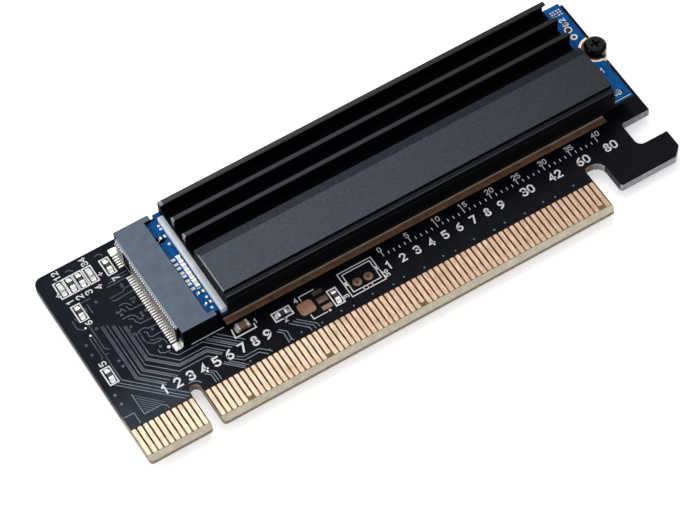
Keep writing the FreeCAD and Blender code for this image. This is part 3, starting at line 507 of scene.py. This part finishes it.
def piece(name, vertices, faces, material):
    """A scene mesh given in millimetres that rides with the card."""
    mesh = bpy.data.meshes.new(name)
    mesh.from_pydata([[value * MM for value in vertex] for vertex in vertices], [], faces)
    mesh.materials.append(MATERIALS[material])
    mesh.update()
    solid = bmesh.new()
    solid.from_mesh(mesh)
    bmesh.ops.recalc_face_normals(solid, faces=solid.faces)
    solid.to_mesh(mesh)
    solid.free()
    thing = bpy.data.objects.new(name, mesh)
    bpy.context.scene.collection.objects.link(thing)
    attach(thing, "root")
    return thing


def line_sides(points, wide, closed=False):
    """The left and right side of a line of a given width, with mitred bends and square ends."""
    count = len(points)
    left = []
    right = []
    for k, (x, y) in enumerate(points):
        before = points[k - 1] if (k or closed) else None
        after = points[(k + 1) % count] if (k < count - 1 or closed) else None
        directions = []
        if before is not None:
            directions.append(Vector((x - before[0], y - before[1])).normalized())
        if after is not None:
            directions.append(Vector((after[0] - x, after[1] - y)).normalized())
        along = sum(directions, Vector((0.0, 0.0))).normalized()
        reach = wide / 2 / max(0.45, along.dot(directions[0]))
        side = Vector((-along.y, along.x)) * reach
        push = Vector((0.0, 0.0))
        if not closed and k in (0, count - 1):
            push = along * (wide / 2 if k else -wide / 2)
        left.append((x + side.x + push.x, y + side.y + push.y))
        right.append((x - side.x + push.x, y - side.y + push.y))
    return left, right


# strokes of each digit, one unit tall, and the step from one digit to the next
DIGITS = {
    "0": (((0, .2), (0, .8), (.2, 1), (.4, 1), (.6, .8), (.6, .2), (.4, 0), (.2, 0), (0, .2)),),
    "1": (((.1, .8), (.32, 1), (.32, 0)),),
    "2": (((0, .8), (.18, 1), (.42, 1), (.6, .82), (.6, .62), (0, 0), (.6, 0)),),
    "3": (((0, .86), (.15, 1), (.45, 1), (.6, .85), (.6, .66), (.45, .52), (.2, .52)),
          ((.45, .52), (.6, .36), (.6, .15), (.45, 0), (.15, 0), (0, .14))),
    "4": (((.46, 0), (.46, 1), (0, .3), (.64, .3)),),
    "5": (((.58, 1), (.04, 1), (0, .56), (.4, .6), (.6, .42), (.6, .18), (.42, 0), (.15, 0), (0, .12)),),
    "6": (((.52, 1), (.2, .82), (0, .5), (0, .2), (.18, 0), (.42, 0), (.6, .18), (.6, .38), (.42, .55),
           (.2, .55), (0, .38)),),
    "7": (((0, 1), (.6, 1), (.22, 0)),),
    "8": (((.3, .53), (.06, .7), (.06, .86), (.2, 1), (.4, 1), (.54, .86), (.54, .7), (.3, .53), (0, .32),
           (0, .15), (.15, 0), (.45, 0), (.6, .15), (.6, .32), (.3, .53)),),
    "9": (((.08, 0), (.4, .18), (.6, .5), (.6, .8), (.42, 1), (.18, 1), (0, .82), (0, .62), (.18, .45),
           (.4, .45), (.6, .62)),),
    "+": (((0, .5), (.7, .5)), ((.35, .15), (.35, .85))),
}
DIGIT_STEP = 0.92


def circle(x, y, radius, steps):
    turns = [2 * math.pi * k / steps for k in range(steps)]
    return [(x + radius * math.cos(turn), y + radius * math.sin(turn)) for turn in turns]


class Pile:
    """Many small solids that make one piece; the flat ones stand between two heights."""

    def __init__(self, bottom=0.0, top=0.0):
        self.vertices = []
        self.faces = []
        self.at(bottom, top)

    def at(self, bottom, top):
        """Set the heights of the flat solids that follow."""
        self.bottom = bottom
        self.top = top
        return self

    def add(self, vertices, faces):
        base = len(self.vertices)
        self.vertices += [list(vertex) for vertex in vertices]
        self.faces += [[base + index for index in face] for face in faces]

    def plate(self, outline):
        """A flat solid with an outline of (x, y) corners."""
        count = len(outline)
        faces = [list(range(count))[::-1], list(range(count, 2 * count))]
        faces += [[k, (k + 1) % count, count + (k + 1) % count, count + k] for k in range(count)]
        self.add([(x, y, z) for z in (self.bottom, self.top) for x, y in outline], faces)

    def rectangle(self, x0, y0, x1, y1):
        self.plate([(x0, y0), (x1, y0), (x1, y1), (x0, y1)])

    def disc(self, x, y, radius, steps=16):
        self.plate(circle(x, y, radius, steps))

    def loop(self, first, second, closed):
        """A flat solid between two lines of as many (x, y) points; an open one gets two end faces."""
        count = len(first)
        faces = []
        for k in range(count if closed else count - 1):
            a = 4 * k
            b = 4 * ((k + 1) % count)
            faces += [[a + j, a + (j + 1) % 4, b + (j + 1) % 4, b + j] for j in range(4)]
        if not closed:
            faces += [[0, 3, 2, 1], [4 * count - 4 + j for j in range(4)]]
        vertices = []
        for a, b in zip(first, second):
            vertices += [(*a, self.bottom), (*b, self.bottom), (*b, self.top), (*a, self.top)]
        self.add(vertices, faces)

    def ribbon(self, points, wide, closed=False):
        """A raised line of a given width along (x, y) points, with mitred bends."""
        self.loop(*line_sides(points, wide, closed), closed)

    def ring(self, x, y, outer, inner, steps=20):
        self.loop(circle(x, y, outer, steps), circle(x, y, inner, steps), True)

    def text(self, text, x, y, tall, wide, quarter_turns=0):
        """Plain digits as lines, from their low left corner and turned anticlockwise about it."""
        for number, character in enumerate(text):
            for stroke in DIGITS[character]:
                points = [((number * DIGIT_STEP + u) * tall, v * tall) for u, v in stroke]
                for _ in range(quarter_turns):
                    points = [(-v, u) for u, v in points]
                self.ribbon([(x + u, y + v) for u, v in points], wide)

    def block(self, low, high, edge):
        """A box with its twelve edges rounded off."""
        solid = bmesh.new()
        size = [b - a for a, b in zip(low, high)]
        place = Matrix.Translation([(a + b) / 2 for a, b in zip(low, high)]) @ Matrix.Diagonal((*size, 1.0))
        bmesh.ops.create_cube(solid, size=1.0, matrix=place)
        bmesh.ops.bevel(solid, geom=list(solid.edges), offset=edge, segments=2, profile=0.6, affect="EDGES")
        solid.verts.index_update()
        self.add([vertex.co for vertex in solid.verts],
                 [[vertex.index for vertex in face.verts] for face in solid.faces])
        solid.free()

    def fillet(self, foot, side, wide, reach, tall, bottom):
        """A concave slope of solder that starts at foot, an (x, y) place on a part's end face, and
        runs out along side, a direction as (x, y)."""
        across = (-side[1], side[0])
        steps = 5
        vertices = []
        for k in range(steps + 1):
            out = reach * k / steps
            high = tall * (1 - k / steps) ** 2 + 0.02
            half = wide / 2 * (1 - 0.25 * (k / steps) ** 2)
            for sign in (-1, 1):
                x = foot[0] + side[0] * out + across[0] * half * sign
                y = foot[1] + side[1] * out + across[1] * half * sign
                vertices += [(x, y, bottom), (x, y, bottom + high)]
        faces = [[0, 1, 3, 2]]
        for k in range(steps):
            a = 4 * k
            b = a + 4
            faces += [[a, b, b + 1, a + 1], [a + 1, b + 1, b + 3, a + 3], [a + 3, b + 3, b + 2, a + 2],
                      [a + 2, b + 2, b, a]]
        last = 4 * steps
        faces.append([last, last + 2, last + 3, last + 1])
        self.add(vertices, faces)

    def make(self, name, material):
        return piece(name, self.vertices, self.faces, material)


def rounded_outline(low, high, radius, steps=3):
    """Corners of a rectangle with rounded corners."""
    points = []
    for cx, cy, start in ((high[0] - radius, high[1] - radius, 0), (low[0] + radius, high[1] - radius, 90),
                          (low[0] + radius, low[1] + radius, 180), (high[0] - radius, low[1] + radius, 270)):
        for k in range(steps + 1):
            turn = math.radians(start + 90 * k / steps)
            points.append((cx + radius * math.cos(turn), cy + radius * math.sin(turn)))
    return points


# ---------------------------- edge contacts

def dress_edge_contacts():
    """Contacts with rounded ends in place of the plain plates."""
    for node in ("edge_contacts_front", "edge_contacts_back"):
        pile = Pile()
        for low, high in islands(node):
            pile.at(low[2], high[2]).plate(rounded_outline(low, high, 0.2))
        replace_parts(pile.make(node + "_rounded", "gold_plating"), node)


# ---------------------------- tracks under the mask

BROAD = 0.36
THIN = 0.18
HATCH = 0.08
VIA = (0.24, 0.1)
# covered holes of the board: beside the socket's tails, at the resistors and in the lower left corner
VIA_PLACES = (
    (-0.35, 30.2), (-0.35, 29.9), (-3.35, 26.0), (-2.95, 25.3), (-0.3, 27.1), (-0.25, 26.4), (-0.25, 24.0),
    (-0.25, 23.4), (0.6, 24.0), (-2.8, 22.6), (-3.4, 22.2), (-3.3, 21.2), (-10.3, 23.4), (-0.2, 20.4),
    (-0.7, 17.0), (0.2, 27.0), (-5.2, 29.6), (-10.4, 21.4), (-7.4, 18.2), (-7.5, 25.2), (-10.9, 13.1),
    (-10.8, 11.2), (-7.3, 17.0),
)


def board_tracks():
    """Broad and narrow tracks as (width, points)."""
    # six lanes that run down from the socket, turn by 45 degrees and go on to the contacts
    tracks = [
        (BROAD, [(-6.6, 24.9), (-6.6, 14.0), (-3.35, 10.75)]),
        (THIN, [(-5.86, 24.8), (-5.86, 14.3), (-2.5, 10.95)]),
        (BROAD, [(-5.07, 24.1), (-5.07, 14.75), (-1.3, 10.98)]),
        (THIN, [(-4.33, 23.6), (-4.33, 15.35), (-0.5, 11.52), (4.5, 11.52), (5.2, 10.8)]),
        (BROAD, [(-3.6, 23.0), (-3.6, 16.1), (0.1, 12.4), (4.9, 12.4), (6.5, 10.8)]),
        (THIN, [(-2.86, 21.4), (-2.86, 16.6), (0.6, 13.14), (5.05, 13.14), (7.35, 10.84)]),
        (THIN, [(-0.1, 15.2), (0.95, 14.1), (5.2, 14.1), (8.45, 10.85)]),
    ]
    tracks += [(width, [(start, 14.15), (start + 3.2, 10.95)])
               for start, width in ((6.05, BROAD), (6.95, THIN), (7.75, THIN))]
    # on towards the contacts below the row of numbers
    tracks.append((BROAD, [(6.2, 8.9), (8.35, 6.75)]))
    thin = [
        [(6.95, 8.9), (9.1, 6.75)],
        [(7.6, 9.0), (9.0, 7.75), (11.6, 7.75), (12.6, 6.75)],
        [(8.3, 9.0), (9.1, 8.35), (11.9, 8.35), (13.4, 6.85)],
        [(2.6, 9.0), (3.35, 8.2), (3.35, 6.75)],
        [(3.1, 9.0), (3.8, 8.3), (3.8, 6.75)],
        [(3.6, 9.0), (4.3, 8.35), (4.3, 6.75)],
    ]
    # the clock and side-band tracks on the left
    thin += [
        [(-10.0, 14.7), (-2.05, 6.75)],
        [(-9.3, 14.7), (-1.4, 6.8)],
        [(-8.7, 20.3), (-8.7, 14.95), (-1.1, 7.35)],
        [(-8.7, 24.2), (-8.7, 20.3), (-8.1, 20.25)],
        [(-9.25, 24.3), (-9.25, 20.1), (-9.55, 19.8)],
        [(-8.2, 26.3), (-8.2, 21.5), (-7.7, 20.85)],
        [(-10.05, 28.4), (-10.05, 26.8), (-9.25, 26.0)],
        [(-9.5, 28.6), (-9.3, 27.9), (-9.05, 27.7)],
        [(-7.2, 29.6), (-7.2, 28.9)],
        [(-6.6, 29.9), (-6.6, 28.1)],
        [(-7.3, 30.68), (-5.7, 30.68)],
    ]
    thin += [[(level - 33.4, level), (1.6, level)] for level in (31.0, 31.55, 32.1)]
    # frames of the copper areas in the lower left corner
    thin += [
        [(-8.7, 11.8), (-8.7, 7.75), (-5.6, 7.75), (-5.0, 7.2), (-5.0, 6.75)],
        [(-11.6, 8.8), (-9.95, 8.8), (-9.95, 6.75)],
    ]
    tracks += [(THIN, points) for points in thin]
    tracks += [(HATCH, [(-8.4, 11.4 - 0.55 * step), (-5.1 - 0.5 * step, 7.95)]) for step in range(7)]
    # short fan-out of the socket's tails
    fan = [
        [(-3.0, 28.95), (-0.7, 28.95), (-0.25, 29.4), (0.8, 29.4)],
        [(-2.9, 28.35), (-2.4, 28.1), (-1.5, 28.2), (0.85, 28.35)],
        [(-2.45, 26.95), (-1.8, 27.0), (-1.2, 26.7), (-0.85, 26.1)],
        [(-1.6, 26.25), (-1.45, 25.5), (-1.1, 25.35), (0.9, 25.35)],
        [(-3.2, 24.5), (-1.85, 24.5), (-1.25, 24.05), (-0.95, 23.1), (-0.5, 22.95)],
        [(-2.45, 24.0), (-1.85, 23.75), (-1.7, 22.95), (-1.2, 22.3), (0.85, 22.3)],
        [(-2.75, 20.9), (-1.85, 21.35), (-1.1, 21.3), (-0.7, 20.9), (0.85, 20.85)],
        [(-2.2, 20.9), (-2.3, 19.3), (-2.05, 18.6), (-1.2, 17.95), (-0.05, 17.95)],
        [(-1.55, 20.6), (-1.15, 20.3), (-1.3, 19.5), (-0.9, 19.2), (0.85, 19.3)],
        [(-1.45, 18.85), (-0.85, 18.5), (-0.1, 18.4), (0.4, 17.75), (0.45, 17.0)],
        [(-1.35, 16.6), (-1.3, 16.0), (-0.7, 15.6), (0.2, 15.5)],
        [(-3.0, 25.9), (-2.5, 26.3), (-2.1, 25.6)],
    ]
    tracks += [(0.2, points) for points in fan]
    # right of the numbers, down to the contacts
    right = [[(start, 9.7), (start + 2.3, 7.4), (start + 2.35, 6.75)] for start in (18.1, 18.85, 19.5)]
    right += [
        [(16.2, 9.6), (17.15, 8.65), (17.0, 7.4), (17.2, 6.75)],
        [(15.8, 9.4), (16.5, 8.65), (16.4, 6.75)],
    ]
    return tracks + [(THIN, points) for points in right]


def board_arcs():
    """Curved tracks near the top corner and round the key notch, as point lists."""
    arcs = []
    for x, y, radius, start, end in ((-6.3, 36.4, 0.75, 20, 110), (-0.9, 36.5, 0.75, 20, 120),
                                     (0.0, 7.3, 1.5, 25, 100)):
        turns = [math.radians(start + (end - start) * k / 6) for k in range(7)]
        arcs.append([(x + radius * math.cos(t), y + radius * math.sin(t)) for t in turns])
    return arcs


def make_tracks():
    """Tracks and covered holes; a broad track is a dim band between two bright edges, which are painted
    highlights along its raised sides.
    """
    pile = Pile(FOOT, TRACK_TOP)
    broad = Pile(FOOT, TRACK_TOP - 0.008)
    for wide, points in board_tracks():
        if wide == BROAD:
            broad.ribbon(points, wide)
            # painted highlights along both sides of a broad track
            for side in line_sides(points, wide):
                pile.ribbon(side, 0.12)
        else:
            pile.ribbon(points, wide * 0.8)
    broad.make("board_broad_tracks", "masked_track")
    for points in board_arcs():
        pile.ribbon(points, THIN)
    for x, y in VIA_PLACES:
        pile.ring(x, y, *VIA, 14)
    for number in range(20):
        x = 9.6 + 3.1 * number + 0.5 * (number % 3)
        pile.ring(x, 7.05 + 0.25 * (number % 2), 0.15, 0.07, 10)
    pile.make("board_tracks", "masked_copper")


# ---------------------------- white print

PART_LINE = 0.23


def frame_round(box, over_x, over_y):
    """The corners of a frame that stands off a part by a margin on each side."""
    (x0, y0, _), (x1, y1, _) = box
    return [(x0 - over_x, y0 - over_y), (x1 + over_x, y0 - over_y),
            (x1 + over_x, y1 + over_y), (x0 - over_x, y1 + over_y)]


def print_small_parts(pile):
    """Frames and plain numbers of the lights and of the resistors round them."""
    lights = islands("status_lights") + islands("light_resistors")
    for box in lights + islands("signal_resistors"):
        pile.ribbon(frame_round(box, 0.34, 0.8), PART_LINE, True)
    for number, box in enumerate(sorted(lights)):
        pile.text(str(number + 1), middle(box)[0] + 0.55, 31.45, 1.05, 0.19, 1)
    for text, x, y in (("5", -9.3, 18.75), ("6", -7.5, 26.5), ("7", 0.1, 31.45)):
        pile.text(text, x, y, 1.0, 0.19, 1)
    for text, x in (("12", -7.75), ("34", -2.85)):
        pile.text(text, x, 36.5, 0.95, 0.2, 1)
    for x in (-9.95, -2.4):
        pile.text("+", x, 33.35, 0.85, 0.17)
    pile.ribbon([(-9.3, 35.9), (-8.9, 36.05), (-8.1, 36.05), (-7.95, 35.7)], 0.14)


def print_supply(pile):
    """Frames and plain numbers of the supply's capacitor, resistors and unfitted pads."""
    (x0, y0, _), (x1, y1, _) = islands("supply_capacitor")[0]
    low_y = y0 - 0.55
    pile.ribbon([(x0 - 0.75, y1 - 0.2), (x0 - 0.95, low_y), (x1 + 0.75, low_y), (x1 + 0.75, y0 + 0.2)],
                PART_LINE)
    supply = islands("supply_resistors")
    pile.ribbon(frame_round(supply[0], 0.75, 0.42), PART_LINE, True)
    pile.ribbon(frame_round(supply[1], 0.36, 0.75), PART_LINE, True)
    pile.text("1", 13.75, 12.6, 0.8, 0.15)
    pile.text("2", 17.8, 10.25, 0.75, 0.16)
    pile.text("3", 28.5, 8.9, 0.8, 0.17, 1)
    pile.text("4", 20.75, 12.35, 0.8, 0.16)
    pile.ribbon([(21.75, 12.3), (21.75, 13.05), (24.4, 13.05)], 0.15)
    pile.ribbon([(21.75, 9.2), (21.75, 8.32), (24.2, 8.32)], 0.15)
    pile.disc(24.7, 8.35, 0.22)


def print_header(pile):
    """The double frame of the two header holes, with its marks and a plain number."""
    (x0, y0, _), (x1, y1, _) = box_mm("header_hole_rings")
    for left, below, right, above in ((1.25, 1.2, 1.35, 2.1), (0.65, 0.55, 0.85, 1.6)):
        corners = [(x0 - left, y0 - below), (x1 + right, y0 - below), (x1 + right, y1 + above),
                   (x0 - left, y1 + above)]
        pile.ribbon(corners, 0.16, True)
    for x in (x0 - 0.95, x1 + 1.1):
        pile.rectangle(x - 0.28, 10.7, x + 0.28, 11.45)
    for x in (31.2, 31.9, 32.7):
        pile.ribbon([(x, y0 - 1.15), (x, y0 - 0.6)], 0.15)
    pile.text("56", 35.95, 8.8, 0.8, 0.16, 1)


def print_numbers(pile):
    """Plain numbers: counting marks, a scale in millimetres and the four drive lengths."""
    for number in range(9):
        pile.text(str(number + 1), -4.35 + 2.28 * number, 9.1, 1.5, 0.32)
        pile.text(str(number + 1), 36.3 + 2.6 * number, 9.85, 1.3, 0.27)
        pile.text(str(5 * number), 36.6 + 5 * number, 13.3, 0.85, 0.15)
    for tick in range(41):
        x = 36.9 + tick
        pile.ribbon([(x, 12.35), (x, 12.75 if tick % 5 else 13.1)], 0.13)
    for text, x in (("30", 61.4), ("42", 66.6), ("60", 71.9), ("80", 77.1)):
        pile.text(text, x, 9.85, 1.35, 0.27)


def make_print():
    pile = Pile(FOOT, PRINT_TOP)
    print_small_parts(pile)
    print_supply(pile)
    print_header(pile)
    print_numbers(pile)
    pile.ribbon([(3.6, socket_low[1] - 0.3), (9.2, socket_low[1] - 0.3)], 0.14)
    pile.ribbon([(2.0, 31.35), (2.0, 32.9)], 0.16)
    pile.disc(0.35, 16.2, 0.3)
    pile.make("board_print", "board_print")


def make_hole_details():
    """Bare test points, and the walls of the header holes."""
    spots = Pile(FOOT, FRONT + 0.035)
    for y in (26.2, 24.6):
        spots.disc(-8.9, y, 0.17)
    spots.make("test_points", "tinned_metal")
    walls = Pile(FRONT - 0.3, FRONT + 0.02)
    for low, high in islands("header_hole_rings"):
        if low[2] > FRONT / 2:
            x, y, _ = middle((low, high))
            walls.ring(x, y, 0.54, 0.2)
    walls.make("header_hole_walls", "aged_pads")


# ---------------------------- soldered parts

# node, material of the bodies, slot of the bodies, length of an end cap, reach of the solder
SOLDERED = (
    ("light_resistors", "ceramic", "ceramic", 0.42, 0.55),
    ("signal_resistors", "ceramic", "ceramic", 0.42, 0.55),
    ("supply_resistors", "ceramic", "ceramic", 0.4, 0.5),
    ("supply_capacitor", "pale_ceramic", "pale_ceramic", 0.4, 0.3),
    ("ssd_capacitors", "white_ceramic", "pale_ceramic", 0.4, 0.22),
    ("ssd_resistors", "ceramic", "ceramic", 0.28, 0.18),
)


def add_solder(pile, low, high, axis, reach, tall):
    """A slope of solder at both ends of a part that lies along an axis."""
    foot = [(low[0] + high[0]) / 2, (low[1] + high[1]) / 2]
    wide = high[1 - axis] - low[1 - axis]
    for place, sign in ((low, -1), (high, 1)):
        foot[axis] = place[axis]
        side = [0, 0]
        side[axis] = sign
        pile.fillet(foot, side, wide * 1.1, reach, tall, low[2])


def make_chip_parts():
    """Chip parts with separate end caps, bodies and solder in place of the plain solids."""
    solder = Pile()
    for node, material, slot, cap, reach in SOLDERED:
        bodies = Pile()
        caps = Pile()
        for low, high in islands(node):
            axis = 1 if high[1] - low[1] > high[0] - low[0] else 0
            inner_low = [low[0] + 0.04, low[1] + 0.04, low[2]]
            inner_high = [value - 0.04 for value in high]
            inner_low[axis] = low[axis] + cap / 2
            inner_high[axis] = high[axis] - cap / 2
            bodies.block(inner_low, inner_high, 0.03)
            cap_end = list(high)
            cap_end[axis] = low[axis] + cap
            caps.block(low, cap_end, 0.05)
            cap_start = list(low)
            cap_start[axis] = high[axis] - cap
            caps.block(cap_start, high, 0.05)
            add_solder(solder, low, high, axis, reach, (high[2] - low[2]) * 0.75)
        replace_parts(bodies.make(node + "_bodies", material), node)
        caps.make(node + "_caps", "tinned_metal")
    for low, high in islands("status_lights"):
        add_solder(solder, low, high, 1, 0.5, 0.25)
    solder.make("part_solder", "tinned_metal")


def make_lights():
    """Lights with a clear lens over a pale carrier."""
    carriers = Pile()
    lenses = Pile()
    for low, high in islands("status_lights"):
        top = low[2] + 0.25
        carriers.block(low, [high[0], high[1], top], 0.03)
        lenses.block([low[0] + 0.02, low[1] + 0.3, top - 0.02], [high[0] - 0.02, high[1] - 0.3, high[2]], 0.1)
    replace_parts(lenses.make("status_light_lenses", "led_lens"), "status_lights")
    carriers.make("status_light_carriers", "white_ceramic")


def make_socket_solder():
    """Solder of the socket's tails and of its two corner tabs, and the upright legs of the rear tails."""
    pile = Pile(FOOT, PRINT_TOP)
    legs = Pile()
    rear = socket_low[0]
    for low, high in islands("socket_upper_contacts"):
        y = (low[1] + high[1]) / 2
        pile.rectangle(low[0] - 0.1, y - 0.15, rear - 0.05, y + 0.15)
        pile.fillet((low[0] + 0.02, y), (-1, 0), 0.24, 0.12, 0.12, FRONT)
        legs.block([rear - 0.14, y - 0.11, FRONT + 0.1], [rear - 0.01, y + 0.11, socket_high[2] - 0.15], 0.03)
    for low, high in islands("socket_lower_contacts"):
        y = (low[1] + high[1]) / 2
        pile.rectangle(high[0] - 0.8, y - 0.15, high[0] + 0.3, y + 0.15)
    pile.at(FOOT, FRONT + 0.05)
    for low, high in islands("socket_solder_tabs"):
        pile.plate(rounded_outline([low[0] - 0.12, low[1] - 0.12], [high[0] - 0.3, high[1] + 0.12], 0.15))
        pile.fillet((low[0] + 0.02, (low[1] + high[1]) / 2), (-1, 0), high[1] - low[1], 0.12, 0.2, FRONT)
    pile.make("socket_solder", "tinned_metal")
    legs.make("socket_tail_legs", "spring_metal")


# ---------------------------- drive details

def make_drive_print():
    """White spots, plates by the capacitors, rows of marks and plain numbers on the drive's upper face."""
    end = drive_high[0]
    white = Pile(DRIVE_FOOT, DRIVE_MARK_TOP)
    for x, y in ((8.95, 30.75), (8.75, 16.9), (9.0, 19.0)):
        white.disc(x, y, 0.24, 12)
    for low, high in islands("ssd_capacitors"):
        for y in (low[1] - 0.02, high[1] - 0.5):
            white.rectangle(low[0] - 0.82, y, low[0] - 0.14, y + 0.52)
    white.at(DRIVE_FOOT, DRIVE_PRINT_TOP)
    for y in (34.85, 35.35, 35.85):
        for x in (end - 2.3, end - 1.8, end - 1.25, end - 0.75):
            white.rectangle(x, y - 0.12, x + 0.32, y + 0.12)
    for text, back, y, turns in (("8", 0.9, 32.35, 1), ("2", 0.9, 33.35, 1), ("1", 1.7, 21.2, 0),
                                 ("4", 2.7, 16.2, 0), ("3", 1.9, 16.2, 0)):
        white.text(text, end - back, y, 0.9, 0.2, turns)
    white.ribbon([(end - 3.6, drive_low[1] + 0.35), (end - 0.3, drive_low[1] + 0.35)], 0.1)
    white.make("drive_print", "board_print")


def make_drive_details():
    """Two copper dots in white rings, tinned rings and dark tracks on the drive's upper face."""
    end = drive_high[0]
    dot_x = end - 1.55
    small_y = 29.75
    large_y = 31.45
    white_rings = Pile(DRIVE_FOOT, DRIVE_MARK_TOP)
    white_rings.ring(dot_x, large_y, 0.68, 0.46, 18)
    white_rings.at(DRIVE_FOOT, DRIVE_MARK_TOP + 0.005).ring(dot_x, small_y, 0.6, 0.3, 18)
    white_rings.make("drive_print_rings", "board_print")
    rings = Pile(DRIVE_FOOT, DRIVE_MARK_TOP)
    for x, y in ((9.2, 34.6), (9.2, 33.9), (9.1, 17.9), (9.15, 20.3)):
        rings.ring(x, y, 0.22, 0.1, 12)
    rings.make("drive_rings", "tinned_metal")
    dots = Pile(DRIVE_FOOT, DRIVE_PRINT_TOP)
    dots.disc(dot_x, large_y, 0.46)
    dots.disc(dot_x, small_y, 0.3)
    dots.make("drive_dot", "bare_copper")
    tracks = Pile(DRIVE_FOOT, DRIVE_PRINT_TOP)
    for number in range(9):
        y = drive_low[1] + 1.6 + 2.25 * number
        bend = end - 2.4 + 0.2 * (number % 3)
        if abs(y - DRIVE_MIDDLE) > 3.2:
            tracks.ribbon([(end - 3.9, y), (bend, y), (bend + 0.5, y + 0.5), (end - 0.6, y + 0.5)], 0.12)
    for number in range(12):
        y = drive_low[1] + 1.9 + 1.6 * number
        tracks.ribbon([(7.7, y), (8.5, y), (8.8, y + 0.3), (9.45, y + 0.3)], 0.11)
    tracks.make("drive_tracks", "drive_mask")


# ---------------------------- holes of the copper strip, and the back

COPPER_HOLES = [(12.5 + 5.7 * number, 15.3) for number in range(12)]


def make_back_details():
    """The covered holes as they show on the plain back."""
    pile = Pile(BACK_TOP, 0.01)
    for x, y in VIA_PLACES:
        pile.ring(x, y, *VIA, 14)
    for number in range(26):
        pile.ring(1.6 + 2.7 * number, 7.15, 0.18, 0.08, 10)
    for x, y in COPPER_HOLES:
        pile.ring(x, y, 0.22, 0.1, 12)
    pile.make("back_tracks", "masked_copper")


def make_copper_holes():
    # dark discs of painted shade in the holes of the copper strip
    dark = Pile(FRONT + 0.03, FRONT + 0.045)
    for x, y in COPPER_HOLES:
        dark.disc(x, y, 0.13, 12)
    dark.make("copper_holes", "chip_plastic")


dress_edge_contacts()
make_tracks()
make_print()
make_hole_details()
make_chip_parts()
make_lights()
make_socket_solder()
make_drive_print()
make_drive_details()
make_back_details()
make_copper_holes()


# ---------------------------- floor, light and camera

FLOOR_REACH = 3.0
FLOOR_TONE = 0.86
FLOOR_GLOW = 0.55
WORLD_LIGHT = 0.42


def shown(tree):
    """1 on camera, glossy and transmission rays, and 0 on all others."""
    path = add_node(tree, "LightPath", {})
    rays = path.outputs["Is Camera Ray"]
    for name in ("Is Glossy Ray", "Is Transmission Ray"):
        rays = add_node(tree, "Math", {0: rays, 1: path.outputs[name]}, operation="MAXIMUM").outputs[0]
    return rays


def make_floor():
    """A plain white floor that shows as white and keeps the card's shadow."""
    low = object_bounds()[0][2]
    mesh = bpy.data.meshes.new("floor")
    corners = [(x * FLOOR_REACH, y * FLOOR_REACH, low) for x, y in ((-1, -1), (1, -1), (1, 1), (-1, 1))]
    mesh.from_pydata(corners, [], [(0, 1, 2, 3)])
    floor = bpy.data.objects.new("floor", mesh)
    bpy.context.scene.collection.objects.link(floor)
    material = bpy.data.materials.new("floor")
    material.use_nodes = True
    tree = material.node_tree
    tree.nodes.clear()
    diffuse = add_node(tree, "BsdfDiffuse", {"Color": (FLOOR_TONE, FLOOR_TONE, FLOOR_TONE, 1.0)})
    strength = add_node(tree, "Math", {0: shown(tree), 1: FLOOR_GLOW}, operation="MULTIPLY")
    glow = add_node(tree, "Emission", {"Strength": strength.outputs[0]})
    both = add_node(tree, "AddShader", {0: diffuse.outputs[0], 1: glow.outputs[0]})
    add_node(tree, "OutputMaterial", {"Surface": both.outputs[0]})
    mesh.materials.append(material)


def make_world():
    """White to the camera and in reflections, and a softer level for the light it gives."""
    world = bpy.data.worlds.new("studio")
    bpy.context.scene.world = world
    world.use_nodes = True
    tree = world.node_tree
    background = tree.nodes["Background"]
    background.inputs["Color"].default_value = (1.0, 1.0, 1.0, 1.0)
    level = add_node(tree, "MapRange", {"Value": shown(tree), "To Min": WORLD_LIGHT, "To Max": 1.0})
    tree.links.new(level.outputs["Result"], background.inputs["Strength"])


def softbox(name, direction, distance, size, radiance):
    """A square lamp that faces the middle of the card from a direction."""
    aim = Vector([(a + b) / 2 * MM for a, b in zip(board_low, board_high)])
    lamp = bpy.data.lights.new(name, "AREA")
    lamp.shape = "SQUARE"
    lamp.size = size
    lamp.energy = radiance * math.pi * size * size
    thing = bpy.data.objects.new(name, lamp)
    bpy.context.scene.collection.objects.link(thing)
    away = Vector(direction).normalized()
    thing.location = aim + away * distance
    thing.rotation_euler = (-away).to_track_quat("-Z", "Y").to_euler()


def make_camera():
    """The camera of the view: its place, its right-hand and its upward direction in the card's frame."""
    place = Vector((-92.28, -232.68, 421.77)) * MM
    right = Vector((0.8551, -0.5156, -0.0541)).normalized()
    up = Vector((0.4575, 0.7012, 0.5468))
    up = (up - right * up.dot(right)).normalized()
    back = right.cross(up)
    data = bpy.data.cameras.new("camera")
    data.sensor_width = 36.0
    data.lens = 170.31
    data.clip_start = 0.01
    data.clip_end = 20.0
    camera = bpy.data.objects.new("camera", data)
    turn = Matrix((right, up, back)).transposed().to_4x4()
    camera.matrix_world = Matrix.Translation(place) @ turn
    bpy.context.scene.collection.objects.link(camera)
    bpy.context.scene.camera = camera


make_floor()
make_world()
softbox("key", (0.10, 0.42, 0.85), 0.6, 0.42, 2.5)
softbox("fill", (-1.0, 0.1, 0.6), 0.7, 0.6, 1.8)
make_camera()
bpy.context.scene.view_settings.view_transform = "Standard"
